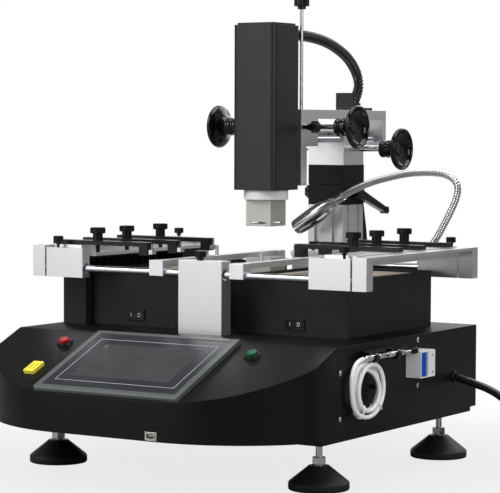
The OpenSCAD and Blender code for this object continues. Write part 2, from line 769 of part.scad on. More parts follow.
// Carriage on the right: two bearing blocks joined by a stepped rail
module carriage() {
    y0 = rods_y[0] - block_lap;
    y1 = rods_y[1] + block_lap;
    difference() {
        union() {
            block([block_in, y0, block_z0], [block_out, y0 + block_d, block_top]);
            block([block_in, y1 - block_d, block_z0], [block_out, y1, block_top]);
            block([block_in - ledge_over + ledge_w, y0 + block_d, rail_top - rail_t],
                [block_out, y1 - block_d, rail_top]);
            block([block_in - ledge_over, y0 + block_d, rail_top - rail_t],
                [block_in - ledge_over + ledge_w, y1 - block_d, rail_top - rail_t + ledge_t]);
        }
        for (y = rods_y) {
            bar_x(block_in - 1, block_out + 1, y, rod_z, rod_r + fit);
            bar_x(block_in - 1, block_in + 3, y, rod_z, rod_r + 2.5);
        }
    }
}
module left_carriage() color("#d6d7d8") mirror([1, 0, 0]) carriage();
module right_carriage() color("#d6d7d8") carriage();

// Thumb screws that lock the right carriage on its rods
thumb_in = 14;
thumb_stem_d = 4;
thumb_stem_h = 5;
thumb_d = 15;
thumb_neck_d = 7;
thumb_neck_h = 3;
thumb_t = 8;
module carriage_knobs() for (y = rods_y) translate([block_out - thumb_in, y, block_top]) {
    cylinder(d = thumb_stem_d, h = thumb_stem_h + 1);
    translate([0, 0, thumb_stem_h]) star_knob(thumb_d, thumb_neck_d, thumb_neck_h, thumb_t);
}
module left_carriage_knobs() color("#131313") mirror([1, 0, 0]) carriage_knobs();
module right_carriage_knobs() color("#131313") carriage_knobs();

// Clamp arm on the right at y: bar over the rail, hooked inner end with its board rest and pin,
// and the star knob whose stud clamps it to the rail's ledge
hook_drop = 12;
hook_w = 14;
arm_knob_d = 23;
arm_neck_d = 14;
arm_neck_h = 11;
arm_knob_t = 8.5;
module clamp_arm(y) translate([0, y, 0]) {
    ledge_z = rail_top - rail_t + ledge_t;
    block([arm_in, -arm_w / 2, arm_z], [arm_out, arm_w / 2, arm_z + arm_t]);
    block([arm_in, -arm_w / 2, arm_z - hook_drop], [arm_in + hook_w, arm_w / 2, arm_z + 1]);
    block([arm_in - 7, -5, arm_z - hook_drop + 2], [arm_in + 1, 5, arm_z - hook_drop + 8]);
    translate([arm_in - 3.5, 0, arm_z - hook_drop + 7]) cylinder(d = 3, h = 9);
    translate([arm_stud_x, 0, ledge_z + gap]) cylinder(d = arm_stud_d, h = arm_z - ledge_z);
    translate([arm_stud_x, 0, arm_z + arm_t - 1]) star_knob(arm_knob_d, arm_neck_d, arm_neck_h, arm_knob_t);
}
module left_front_arm() color("#161616") mirror([1, 0, 0]) clamp_arm(left_arms[0]);
module left_middle_arm() color("#161616") mirror([1, 0, 0]) clamp_arm(left_arms[1]);
module left_rear_arm() color("#161616") mirror([1, 0, 0]) clamp_arm(left_arms[2]);
module right_front_arm() color("#161616") clamp_arm(right_arms[0]);
module right_middle_arm() color("#161616") clamp_arm(right_arms[1]);
module right_rear_arm() color("#161616") clamp_arm(right_arms[2]);

// Bar that carries the board's middle; its end blocks straddle the rods
left_pin = 52;
right_pin = -36;
module support_bar(x, pin) translate([x, 0, 0]) {
    y0 = rods_y[0] - block_lap;
    y1 = rods_y[1] + block_lap;
    difference() {
        union() {
            for (y = [y0, y1 - block_d])
                block([-bar_block / 2, y, rod_z - bar_drop], [bar_block / 2, y + block_d, bar_top]);
            block([-bar_w / 2, y0 + 1, bar_top - bar_t], [bar_w / 2, y1 - 1, bar_top]);
        }
        for (y = rods_y) {
            bar_x(-bar_block, bar_block, y, rod_z, rod_r + fit);
            block([-bar_block, y - rod_r - fit, rod_z - 20], [bar_block, y + rod_r + fit, rod_z]);
        }
    }
    translate([0, pin, bar_top - 1]) cylinder(d = bar_pin_d, h = bar_pin_h);
}
module left_support_bar() color("#d0d1d2") support_bar(bar_left, left_pin);
module right_support_bar() color("#d0d1d2") support_bar(bar_right, right_pin);

// Column: square extrusion with two slots on each face
slot_w = 8;
slot_d = 5;
module column() color("#cfd0d2") translate([0, column_y, column_z0]) difference() {
    block([-column_w / 2, -column_w / 2, 0], [column_w / 2, column_w / 2, column_top - column_z0]);
    for (a = [0:90:270], s = [-1, 1]) rotate(a) translate([s * column_w / 4, column_w / 2, 0])
        block([-slot_w / 2, -slot_d, -1], [slot_w / 2, slot_d, column_top]);
}

// Bracket on the back wall: plate, shoe round the column's foot and a flared brace behind it
shoe_t = 6;
brace_out = 46;
brace_steps = 8;
plate_half = 60;
shoe_h = 72;
module column_bracket() color("#151517") {
    back = column_front + column_w;
    block([-plate_half, back_y, base_z + 4], [plate_half, column_front, deck_z - 6]);
    difference() {
        block([-column_w / 2 - shoe_t, column_front, base_z + 2],
            [column_w / 2 + shoe_t, back + shoe_t, base_z + 2 + shoe_h]);
        block([-column_w / 2, column_front - 1, column_z0], [column_w / 2, back, deck_z]);
    }
    rise = column_top - column_z0;
    translate([-column_w / 2, 0, 0]) rotate([90, 0, 90]) linear_extrude(column_w) polygon(concat(
        [[back, base_z + 2], [back, clamp_top], [back + 2.5, clamp_top]],
        [for (i = [0:brace_steps])
            [back + 2.5 + brace_out * pow(i / brace_steps, 0.85), column_top - rise * i / brace_steps]],
        [[back + 2.5 + brace_out, base_z + 2]]
    ));
}

seam = 1;
clamp_screw_r = 5;
module clamp_block() color("#111112") difference() {
    block([-column_w / 2, column_front, column_top], [column_w / 2, column_front + column_w, clamp_top]);
    bar_x(-column_w, column_w, column_y, clamp_screw_z, clamp_screw_r + fit);
    difference() {
        block([-column_w, column_front - seam, column_top + clamp_h / 2],
            [column_w, column_front + 2 * column_w, column_top + clamp_h / 2 + seam]);
        block([seam - column_w / 2, column_front + seam, column_top],
            [column_w / 2 - seam, column_front + column_w, clamp_top]);
    }
}

lever_l = 88;
lever_deg = 19;
lever_t = 9;
module clamp_lever() color("#121212") translate([0, column_y, clamp_screw_z]) {
    side = column_w / 2 + gap;
    bar_x(-side - 3, side + 3, 0, 0, clamp_screw_r);
    bar_x(side, side + 14, 0, 0, 9);
    rotate([0, -90, 0]) translate([0, 0, side]) star_knob(20, 12, 8, 11);
    translate([side + 3, 0, 0]) rotate([-lever_deg, 0, 0]) {
        rotate([90, 0, 90]) linear_extrude(lever_t)
            polygon([[0, -6.5], [lever_l, -4], [lever_l, 4], [0, 6.5]]);
        bar_x(-1, lever_t + 1, lever_l - 1, 0, 5.5);
    }
}

module bearing_block() color("#d0d1d3") difference() {
    block([-column_w / 2, column_front, clamp_top], [column_w / 2, column_front + column_w, bearing_top]);
    for (x = [-slide_rod_x, slide_rod_x])
        bar_y(column_front - 1, column_front + column_w + 1, x, slide_rod_z, slide_rod_d / 2 + fit);
    bar_x(-column_w, column_w, column_y, slide_shaft_z, shaft_d / 2 + fit);
    bar_x(-rack_room, rack_room, column_y, slide_shaft_z, slide_pinion_r + 2);
    block([-rack_room, column_front - 1, slide_rack_z - 2],
        [rack_room, column_front + column_w + 1, bearing_top + 1]);
}

// Shaft with a pinion in the middle and a handwheel at each end, turned by phase
module drive(y, z, wheel_x, teeth, phase) {
    bar_x(-wheel_x - 10, wheel_x + 10, y, z, shaft_d / 2);
    translate([-rack_w / 2, y, z]) rotate([0, 90, 0]) rotate(phase) pinion(teeth, rack_w);
    both_sides() handwheel(wheel_x, y, z);
}
module slide_drive() color("#151515") drive(column_y, slide_shaft_z, slide_wheel_x, slide_pinion_n, 180);

// Slide arm: front block with a dovetail guide, top plate and rear block
tail_in = 11;
tail_out = 14;
module dovetail(grow, y1) polygon([
    [-tail_in - grow, head_back - 1], [tail_in + grow, head_back - 1], [tail_in + grow, head_back + 5 - grow],
    [tail_out + grow, y1 + grow], [-tail_out - grow, y1 + grow], [-tail_in - grow, head_back + 5 - grow]
]);
slide_back = lift_rack_y - 1.1 * module_size;
module arm_frame() color("#d4d5d7") difference() {
    union() {
        block([-slide_half, slide_y0, slide_z0], [slide_half, window_y0, slide_top]);
        block([-slide_half, slide_y0, slide_top - slide_plate], [slide_half, slide_y1, slide_top]);
        block([-slide_half, window_y1, slide_z0], [slide_half, slide_y1, slide_top]);
        block([-slide_half, slide_y0, guide_z0], [slide_half, slide_y0 + guide_t, slide_z0]);
    }
    translate([0, 0, guide_z0 - 1]) linear_extrude(slide_top - guide_z0 + 2) dovetail(gap, slide_back);
    block([-rack_room, slide_y0 - 1, guide_z0 - 1], [rack_room, lift_rack_y + 1.4, slide_top + 1]);
    bar_x(-rack_room, rack_room, lift_shaft_y, lift_shaft_z, lift_pinion_r + 2);
    bar_x(-slide_half - 1, slide_half + 1, lift_shaft_y, lift_shaft_z, shaft_d / 2 + fit);
    for (x = [-slide_rod_x, slide_rod_x])
        bar_y(window_y0 - rod_bite, window_y1 + rear_bite, x, slide_rod_z, slide_rod_d / 2);
}

// Guide rods and rack of the slide arm, and the head's stop rod
stop_x = 21;
stop_in = 24;
stop_rise = 143;
stop_y = window_y0 - stop_in;
stop_top = slide_top + stop_rise;
module arm_rails() color("#c6c9ce") {
    for (x = [-slide_rod_x, slide_rod_x])
        bar_y(window_y0 - rod_bite, window_y1 + rear_bite, x, slide_rod_z, slide_rod_d / 2);
    block([-rack_w / 2, window_y0, slide_rack_z + 1.1 * module_size], [rack_w / 2, window_y1, slide_rack_z + 11]);
    translate([-rack_w / 2, column_y, slide_rack_z]) rotate([90, 0, 90]) mirror([0, 1, 0])
        rack_teeth(window_y0 + 2 - column_y, window_y1 - 2 - column_y, rack_w);
    translate([stop_x, stop_y, slide_top]) cylinder(d = 5, h = stop_top - slide_top);
}

// Conduit seat on the arm's top plate, the lift lock and the stop rod's knob
seat_w = 30;
seat_t = 4;
seat_h = 26;
seat_front = 27;
seat_back = 31;
lock_y = slide_y0 + 5.5;
module arm_fittings() color("#131313") {
    seat = conduit_d / 2 + 4 * gap;
    difference() {
        union() {
            block([conduit_x - seat_w / 2, conduit_seat_y - seat_front, slide_top],
                [conduit_x + seat_w / 2, conduit_seat_y + seat_back, slide_top + seat_t]);
            translate([conduit_x, conduit_seat_y, slide_top]) cylinder(r = seat + 3, h = 11);
            block([conduit_x - seat_w / 2, conduit_seat_y - seat_front, slide_top],
                [conduit_x + seat_w / 2, conduit_seat_y - seat_front + seat_t, slide_top + seat_h]);
        }
        translate([conduit_x, conduit_seat_y, slide_top + seat_t]) cylinder(r = seat, h = seat_h);
    }
    bar_x(slide_half, slide_half + 9, lock_y, lift_shaft_z, 3);
    translate([slide_half + 8, lock_y, lift_shaft_z]) rotate([0, 90, 0]) star_knob(17, 9, 6, 11);
    translate([stop_x, stop_y, stop_top]) star_knob(24, 12, 4, 10);
}

module lift_drive() color("#151515") drive(lift_shaft_y, lift_shaft_z, lift_wheel_x, lift_pinion_n, 10);

head_edge = 8;
cap_t = 3;
vent_pitch = 8;
vent_w = 3;
vent_edge = 12;
module head_housing() color("#2b2b2e") {
    top = head_z + head_h;
    skin = 1.5 * wall;
    difference() {
        round_box([-head_w / 2, head_back - head_w, head_z], [head_w / 2, head_back, top], head_edge);
        round_box([skin - head_w / 2, head_back - head_w + skin, head_z + skin],
            [head_w / 2 - skin, head_back - skin, top - skin], head_edge - skin);
        translate([0, head_y, head_z - 1]) cylinder(r = spigot_r, h = 2 * skin);
    }
    difference() {
        round_box([4 - head_w / 2, head_back - head_w + 4, top],
            [head_w / 2 - 4, head_back - 4, top + cap_t], head_edge - 3);
        for (i = [-3:3])
            translate([0, head_y + i * vent_pitch, top + cap_t])
                cube([head_w - 2 * vent_edge, vent_w, 4], center = true);
    }
}

// Dovetail slide on the head's back with the lift rack
slide_up = 10;
slide_short = 24;
slide_foot = head_z + slide_up;
slide_head = head_z + head_h - slide_short;
lift_reach = 62;
module head_slide() color("#c0c3c8") {
    translate([0, 0, slide_foot]) linear_extrude(slide_head - slide_foot) intersection() {
        dovetail(0, slide_back);
        translate([-head_w / 2, head_back]) square([head_w, head_w]);
    }
    translate([rack_w / 2, lift_rack_y, lift_shaft_z]) rotate([0, -90, 0]) rack_teeth(-lift_reach, lift_reach, rack_w);
}

spigot_r = 15;
spigot_h = 8;
flange_z = head_z - flange_h;
module nozzle_flange() color("#e2e1dc") translate([0, head_y, flange_z]) difference() {
    cylinder(d = flange_d, h = flange_h);
    translate([0, 0, -1]) cylinder(r = spigot_r + fit, h = spigot_h + 1 + gap);
}

// Square hot-air nozzle with a slot in each wall, turning on its spigot
module nozzle() color("#b7b5ae") translate([0, head_y, 0]) {
    top = flange_z - gap;
    z0 = flange_z - nozzle_h;
    w = nozzle_w / 2;
    translate([0, 0, top - 1]) cylinder(r = spigot_r, h = spigot_h + 1 + gap);
    difference() {
        block([-w, -w, z0], [w, w, top]);
        block([nozzle_wall - w, nozzle_wall - w, z0 - 1], [w - nozzle_wall, w - nozzle_wall, top - 4]);
        for (a = [0, 90]) rotate(a) block([-12, -w - 1, z0 + 3.5], [12, w + 1, z0 + 6]);
    }
}

module conduit() color("#161616")
    tube(smooth([for (p = conduit_route) [conduit_x, p[0], slide_top + p[1]]], 3), conduit_d, 12, [1, 0, 0]);

sleeve_l = 8;
sleeve_r = 5.6;
module work_lamp() color("#cfd2d6") {
    translate([lamp_x, lamp_y, deck_z]) rotate_extrude() polygon([
        [0, 0], [13, 0], [13, 4], [10, 6], [9, 12], [8, lamp_base_h - 1], [7, lamp_base_h], [0, lamp_base_h]
    ]);
    tube(smooth(neck_route, 3), neck_d, 10, [0, 1, 0]);
    r = shade_d / 2;
    translate(shade_from) rotate([0, 180 + shade_tilt, 0]) rotate_extrude() polygon([
        [0, -sleeve_l], [sleeve_r, -sleeve_l], [sleeve_r + 0.2, 3], [sleeve_r + 1, 7], [r * 0.72, 13],
        [r * 0.9, shade_l * 0.277], [r, shade_l * 0.482], [r * 0.97, shade_l * 0.747], [r * 0.84, shade_l],
        [r * 0.78, shade_l], [r * 0.75, shade_l - 3], [0, shade_l - 3]
    ]);
}

// Moves the part so that its origin is on the floor, at the middle of its footprint
module part() translate([-mid_x, -mid_y, 0]) children();

part() chassis_shell();
part() bottom_pan();
part() side_covers();
part() foot_pads();
part() foot_studs();
part() panel_bezel();
part() panel_screen();
part() switch_bezels();
part() red_button();
part() green_button();
part() thermocouple_socket();
part() usb_port();
part() breaker_body();
part() breaker_toggle();
part() cord_gland();
part() power_cord();
part() cord_coil();
part() plug();
part() pen_holder();
part() suction_pen();
part() suction_hose();
part() hose_coil();
part() heater_boxes();
part() heater_tiles();
part() left_rocker();
part() right_rocker();
part() fan_housing();
part() lower_heater();
part() rod_posts();
part() post_knobs();
part() fixture_rods();
part() end_frames();
part() left_carriage();
part() right_carriage();
part() left_carriage_knobs();
part() right_carriage_knobs();
part() left_front_arm();
part() left_middle_arm();
part() left_rear_arm();
part() right_front_arm();
part() right_middle_arm();
part() right_rear_arm();
part() left_support_bar();
part() right_support_bar();
part() column();
part() column_bracket();
part() clamp_block();
part() clamp_lever();
part() bearing_block();
part() slide_drive();
part() arm_frame();
part() arm_rails();
part() arm_fittings();
part() lift_drive();
part() head_housing();
part() head_slide();
part() nozzle_flange();
part() nozzle();
part() conduit();
part() work_lamp();
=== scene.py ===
import json
import math

import bmesh
import bpy
import numpy as np
from mathutils import Matrix

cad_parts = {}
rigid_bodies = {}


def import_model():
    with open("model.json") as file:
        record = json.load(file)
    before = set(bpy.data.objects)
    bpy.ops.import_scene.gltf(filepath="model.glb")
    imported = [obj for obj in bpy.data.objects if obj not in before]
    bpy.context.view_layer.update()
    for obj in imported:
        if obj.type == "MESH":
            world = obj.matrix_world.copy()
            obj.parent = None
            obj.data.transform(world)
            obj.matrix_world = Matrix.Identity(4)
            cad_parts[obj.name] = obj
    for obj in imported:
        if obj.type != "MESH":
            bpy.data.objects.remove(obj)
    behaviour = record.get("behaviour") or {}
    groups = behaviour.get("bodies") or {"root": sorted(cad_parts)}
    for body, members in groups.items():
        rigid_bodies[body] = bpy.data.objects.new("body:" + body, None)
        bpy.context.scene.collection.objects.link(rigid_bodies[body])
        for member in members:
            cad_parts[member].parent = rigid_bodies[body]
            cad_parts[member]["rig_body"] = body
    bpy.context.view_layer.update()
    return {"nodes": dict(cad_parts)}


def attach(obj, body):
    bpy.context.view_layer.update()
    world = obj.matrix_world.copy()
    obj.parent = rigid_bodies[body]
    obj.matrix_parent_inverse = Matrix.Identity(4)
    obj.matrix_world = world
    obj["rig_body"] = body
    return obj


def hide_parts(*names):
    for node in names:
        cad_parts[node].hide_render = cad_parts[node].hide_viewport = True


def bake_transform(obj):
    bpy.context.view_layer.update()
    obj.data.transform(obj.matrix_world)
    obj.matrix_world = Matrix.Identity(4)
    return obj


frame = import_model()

scene = bpy.context.scene
scene.view_settings.view_transform = "Standard"
originMm = np.array([4.25, 36.5, 0.0])  # the part's origin in the drawing's millimetres


def toPart(points):
    # drawing millimetres to metres in the part's frame
    return (np.asarray(points, float) - originMm) / 1000


# Camera fitted to the photograph

view = {
    "eye": (1625.4, -2529.0, 468.4), "turn": 32.25, "tip": 3.16, "roll": 0.22,  # millimetres and degrees
    "focalPx": 2174.0, "widthPx": 500.0, "sensorMm": 36.0, "clipM": 50.0,
}


def makeCamera(v):
    a, p, r = (math.radians(v[k]) for k in ("turn", "tip", "roll"))
    ahead = np.array([-math.sin(a) * math.cos(p), math.cos(a) * math.cos(p), -math.sin(p)])
    right = np.array([math.cos(a), math.sin(a), 0.0])
    up = np.cross(right, ahead)
    right, up = right * math.cos(r) + up * math.sin(r), up * math.cos(r) - right * math.sin(r)
    lens = bpy.data.cameras.new("camera")
    lens.sensor_width = v["sensorMm"]
    lens.lens = v["sensorMm"] * v["focalPx"] / v["widthPx"]
    lens.clip_end = v["clipM"]
    cam = bpy.data.objects.new("camera", lens)
    scene.collection.objects.link(cam)
    world = np.eye(4)
    world[:3, :3] = np.stack([right, up, -ahead], axis=1)
    world[:3, 3] = toPart(v["eye"])
    cam.matrix_world = Matrix(world.tolist())
    scene.camera = cam


makeCamera(view)


# Mesh helpers: every surface is a grid of points or a profile carried along a path

def meshObject(name, verts, faces, finish, smooth=True):
    mesh = bpy.data.meshes.new(name)
    mesh.from_pydata(np.asarray(verts).reshape(-1, 3).tolist(), [], faces)
    mesh.validate()
    mesh.polygons.foreach_set("use_smooth", np.full(len(mesh.polygons), smooth))
    mesh.materials.append(finish)
    obj = bpy.data.objects.new(name, mesh)
    scene.collection.objects.link(obj)
    return obj


def gridFaces(rows, cols):
    # quads between neighbouring rows and columns, the last column joined to the first;
    # one face closes either end
    i = np.arange(rows - 1)[:, None]
    k = np.arange(cols)[None, :]
    n = (k + 1) % cols
    corners = [i * cols + k, i * cols + n, (i + 1) * cols + n, (i + 1) * cols + k]
    quads = np.stack(corners, axis=-1).reshape(-1, 4)
    first, last = np.arange(cols), np.arange(cols) + (rows - 1) * cols
    return quads.tolist() + [last.tolist(), first[::-1].tolist()]


def sweepFrames(path, aside):
    # two unit directions across the path; aside is a direction that the path never takes
    along = np.gradient(path, axis=0)
    along /= np.linalg.norm(along, axis=1, keepdims=True)
    u = np.cross(np.asarray(aside, float), along)
    u /= np.linalg.norm(u, axis=1, keepdims=True)
    return u, np.cross(along, u)


def tube(name, path, radius, sides, aside, finish):
    # circle of the given radius (a number, or an array over path and angle) carried along the path
    path = np.asarray(path, float)
    u, w = sweepFrames(path, aside)
    t = np.arange(sides) * 2 * math.pi / sides
    r = np.broadcast_to(radius, (len(path), sides))[:, :, None]
    ring = np.cos(t)[None, :, None] * u[:, None, :] + np.sin(t)[None, :, None] * w[:, None, :]
    return meshObject(name, path[:, None, :] + r * ring, gridFaces(len(path), sides), finish)


def acrossAxis(axis, aside):
    # two unit directions across a unit axis; aside is a direction that the axis never takes
    u = np.cross(axis, aside)
    u /= np.linalg.norm(u)
    return u, np.cross(axis, u)


offAxis = (0.31, 0.57, 0.76)  # a direction that no turned piece's axis takes


def lathe(name, profileMm, origin, axis, finish, sides):
    # profile of (radius, height) pairs turned once about the axis
    profile = np.asarray(profileMm, float) / 1000
    axis = np.asarray(axis, float) / np.linalg.norm(axis)
    u, w = acrossAxis(axis, offAxis)
    t = np.arange(sides) * 2 * math.pi / sides
    ring = np.cos(t)[:, None] * u + np.sin(t)[:, None] * w
    out, along = profile[:, 0, None, None], profile[:, 1, None, None]
    pts = np.asarray(origin, float) + along * axis + out * ring[None]
    obj = meshObject(name, pts, gridFaces(len(profile), sides), finish)
    closeUp(obj.data)
    return obj


samePointM = 1e-6


def closeUp(mesh):
    # merges a lathe's pole points and turns every face outwards
    bm = bmesh.new()
    bm.from_mesh(mesh)
    bmesh.ops.remove_doubles(bm, verts=bm.verts, dist=samePointM)
    bmesh.ops.recalc_face_normals(bm, faces=bm.faces)
    bm.to_mesh(mesh)
    bm.free()


def curveThrough(points, n):
    # smooth curve through the points, n samples to each stretch
    p = np.asarray(points, float)
    a = np.concatenate([p[:1], p[:-2]])
    b, c = p[:-1], p[1:]
    d = np.concatenate([p[2:], p[-1:]])
    t = (np.arange(n) / n)[None, :, None]
    a, b, c, d = (q[:, None, :] for q in (a, b, c, d))
    out = b + 0.5 * t * (c - a + t * (2 * a - 5 * b + 4 * c - d + t * (3 * (b - c) + d - a)))
    return np.concatenate([out.reshape(-1, p.shape[1]), p[-1:]])


def evenly(path, step):
    # the same path with points a fixed distance apart
    path = np.asarray(path, float)
    run = np.concatenate([[0], np.cumsum(np.linalg.norm(np.diff(path, axis=0), axis=1))])
    s = np.linspace(0, run[-1], int(run[-1] / step) + 1)
    return np.stack([np.interp(s, run, path[:, k]) for k in range(path.shape[1])], axis=1)


def soften(path, reach, times):
    # running mean over a few neighbours on either side; the ends stay where they are
    for _ in range(times):
        ends = (2 * path[:1] - path[reach:0:-1], path, 2 * path[-1:] - path[-2:-reach - 2:-1])
        run = np.cumsum(np.concatenate([np.zeros((1, 3)), *ends]), axis=0)
        path = (run[2 * reach + 1:] - run[:-2 * reach - 1]) / (2 * reach + 1)
    return path


def prism(name, outline, low, high, finish, axes="yzx"):
    # outline carried straight from low to high: its first two coordinates lie along the first two axes
    outline = np.asarray(outline, float)
    n = len(outline)
    order = ["xyz".index(c) for c in axes]
    pts = np.zeros((2 * n, 3))
    pts[:, order[0]] = np.tile(outline[:, 0], 2)
    pts[:, order[1]] = np.tile(outline[:, 1], 2)
    pts[:n, order[2]], pts[n:, order[2]] = low, high
    obj = meshObject(name, pts, gridFaces(2, n), finish, False)
    closeUp(obj.data)
    return obj


easedEdge = {"segments": 2, "fromDeg": 40}  # an edge that turns more than this is eased


def addBevel(obj, widthMm):
    bevel = obj.modifiers.new("edges", "BEVEL")
    bevel.width = widthMm / 1000
    bevel.segments = easedEdge["segments"]
    bevel.limit_method = "ANGLE"
    bevel.angle_limit = math.radians(easedEdge["fromDeg"])
    bevel.harden_normals = True


def shadeByAngle(mesh, degrees=35):
    # smooth shading, with a sharp edge where two faces meet at more than the given angle
    bm = bmesh.new()
    bm.from_mesh(mesh)
    for edge in bm.edges:
        edge.smooth = len(edge.link_faces) == 2 and edge.calc_face_angle(0) < math.radians(degrees)
    for face in bm.faces:
        face.smooth = True
    bm.to_mesh(mesh)
    bm.free()


def joinPieces(name, pieces):
    # several meshes of one finish or more as one object
    bm = bmesh.new()
    slots = []
    for piece in pieces:
        start = len(bm.faces)
        bm.from_mesh(piece.data)
        bm.faces.ensure_lookup_table()
        finish = piece.data.materials[0]
        if finish not in slots:
            slots.append(finish)
        for face in bm.faces[start:]:
            face.material_index = slots.index(finish)
    mesh = bpy.data.meshes.new(name)
    bm.to_mesh(mesh)
    bm.free()
    for finish in slots:
        mesh.materials.append(finish)
    for piece in pieces:
        bpy.data.objects.remove(piece)
    obj = bpy.data.objects.new(name, mesh)
    scene.collection.objects.link(obj)
    return obj


# Finishes

def newFinish(name, colour, rough, metal=0.0, specular=0.5):
    mat = bpy.data.materials.new(name)
    mat.use_nodes = True
    shader = mat.node_tree.nodes["Principled BSDF"]
    shader.inputs["Base Color"].default_value = (*colour, 1.0)
    shader.inputs["Roughness"].default_value = rough
    shader.inputs["Metallic"].default_value = metal
    shader.inputs["Specular IOR Level"].default_value = specular
    mat.diffuse_color = (*colour, 1.0)
    return mat, shader


grain = {  # most of the noise lies from low to high
    "detail": 3.0, "depthMm": 0.2, "low": 0.3, "high": 0.7, "leastRough": 0.02,
}


def addGrain(mat, shader, scale, colourShift=0.0, roughShift=0.0, bump=0.0, stretch=(1, 1, 1)):
    # noise on object coordinates that varies the colour, the roughness and the height a little
    nodes, links = mat.node_tree.nodes, mat.node_tree.links
    coords = nodes.new("ShaderNodeTexCoord")
    mapping = nodes.new("ShaderNodeMapping")
    mapping.inputs["Scale"].default_value = stretch
    noise = nodes.new("ShaderNodeTexNoise")
    noise.inputs["Scale"].default_value = scale
    noise.inputs["Detail"].default_value = grain["detail"]
    links.new(coords.outputs["Object"], mapping.inputs["Vector"])
    links.new(mapping.outputs["Vector"], noise.inputs["Vector"])
    if colourShift:
        base = shader.inputs["Base Color"].default_value[:3]
        ramp = nodes.new("ShaderNodeValToRGB")
        dark, light = ramp.color_ramp.elements
        dark.position, light.position = grain["low"], grain["high"]
        dark.color = (*[c * (1 - colourShift) for c in base], 1)
        light.color = (*[min(c * (1 + colourShift), 1) for c in base], 1)
        links.new(noise.outputs["Fac"], ramp.inputs["Fac"])
        links.new(ramp.outputs["Color"], shader.inputs["Base Color"])
    if roughShift:
        rough = shader.inputs["Roughness"].default_value
        spread = nodes.new("ShaderNodeMapRange")
        spread.inputs["From Min"].default_value = grain["low"]
        spread.inputs["From Max"].default_value = grain["high"]
        spread.inputs["To Min"].default_value = max(rough - roughShift, grain["leastRough"])
        spread.inputs["To Max"].default_value = min(rough + roughShift, 1.0)
        links.new(noise.outputs["Fac"], spread.inputs["Value"])
        links.new(spread.outputs["Result"], shader.inputs["Roughness"])
    if bump:
        height = nodes.new("ShaderNodeBump")
        height.inputs["Strength"].default_value = bump
        height.inputs["Distance"].default_value = grain["depthMm"] / 1000
        links.new(noise.outputs["Fac"], height.inputs["Height"])
        links.new(height.outputs["Normal"], shader.inputs["Normal"])
    return mat


def grained(name, colour, rough, scale, metal=0.0, specular=0.5, **shifts):
    mat, shader = newFinish(name, colour, rough, metal, specular)
    return addGrain(mat, shader, scale, **shifts)


powderBlack = grained("powderBlack", (0.004, 0.004, 0.0046), 0.36, 900, specular=0.17, colourShift=0.3,
                      roughShift=0.06, bump=0.3)
heaterBlack = grained("heaterBlack", (0.014, 0.014, 0.0155), 0.46, 900, specular=0.2, colourShift=0.3,
                      roughShift=0.06, bump=0.3)
headCharcoal = grained("headCharcoal", (0.018, 0.018, 0.021), 0.36, 1100, specular=0.3, colourShift=0.2,
                       roughShift=0.06, bump=0.2)
mouldedBlack = grained("mouldedBlack", (0.004, 0.004, 0.004), 0.27, 700, specular=0.3, colourShift=0.2,
                       roughShift=0.08, bump=0.15)
polishedBlack = grained("polishedBlack", (0.003, 0.003, 0.0035), 0.08, 60, specular=0.4, roughShift=0.03,
                        colourShift=0.1)
rubberBlack = grained("rubberBlack", (0.009, 0.009, 0.009), 0.5, 500, colourShift=0.3, roughShift=0.1,
                      bump=0.3)
conduitBlack = grained("conduitBlack", (0.008, 0.008, 0.01), 0.22, 400, colourShift=0.2, roughShift=0.05)
cordBlack = grained("cordBlack", (0.01, 0.01, 0.011), 0.24, 600, colourShift=0.2, roughShift=0.08, bump=0.1)
blackOxide = grained("blackOxide", (0.005, 0.005, 0.006), 0.28, 700, specular=0.25, colourShift=0.2,
                     roughShift=0.1, bump=0.15)
anodised = grained("anodised", (0.74, 0.745, 0.76), 0.32, 420, metal=0.9, roughShift=0.04, colourShift=0.02,
                   stretch=(1, 0.06, 1))
anodisedUpright = grained("anodisedUpright", (0.72, 0.725, 0.74), 0.34, 420, metal=0.9, roughShift=0.04,
                          colourShift=0.02, stretch=(1, 1, 0.05))
groundSteel = grained("groundSteel", (0.56, 0.58, 0.62), 0.16, 300, metal=1.0, roughShift=0.05,
                      colourShift=0.04, stretch=(0.05, 1, 1))
satinChrome = grained("satinChrome", (0.58, 0.59, 0.61), 0.17, 260, metal=1.0, roughShift=0.05,
                      colourShift=0.04, bump=0.04)
chromePlate = grained("chromePlate", (0.66, 0.67, 0.69), 0.08, 120, metal=1.0, roughShift=0.03,
                      colourShift=0.02)
nickelPlate = grained("nickelPlate", (0.58, 0.56, 0.52), 0.22, 90, metal=1.0, roughShift=0.05,
                      colourShift=0.05)
blastedSteel = grained("blastedSteel", (0.5, 0.49, 0.46), 0.5, 900, metal=0.6, roughShift=0.1,
                       colourShift=0.08, bump=0.25)
micaBoard = grained("micaBoard", (0.74, 0.735, 0.72), 0.6, 300, colourShift=0.06, roughShift=0.1, bump=0.15)
bezelGrey = grained("bezelGrey", (0.075, 0.085, 0.083), 0.4, 500, specular=0.35, colourShift=0.06,
                    roughShift=0.06, bump=0.1)
filmSlate = grained("filmSlate", (0.02, 0.022, 0.028), 0.32, 500, specular=0.3, colourShift=0.08,
                    roughShift=0.05, bump=0.03)
filmLine = grained("filmLine", (0.4, 0.42, 0.45), 0.4, 300, colourShift=0.05)
markWhite = grained("markWhite", (0.7, 0.7, 0.7), 0.5, 300, colourShift=0.04)
lcdGrey = grained("lcdGrey", (0.05, 0.05, 0.053), 0.1, 40, specular=0.35, colourShift=0.12, roughShift=0.04)
redLens = grained("redLens", (0.3, 0.006, 0.003), 0.2, 200, specular=0.2, colourShift=0.1, roughShift=0.04)
greenLens = grained("greenLens", (0.001, 0.085, 0.03), 0.2, 200, specular=0.2, colourShift=0.1,
                    roughShift=0.04)
socketYellow = grained("socketYellow", (0.8, 0.68, 0.05), 0.42, 500, colourShift=0.05, roughShift=0.06,
                       bump=0.1)
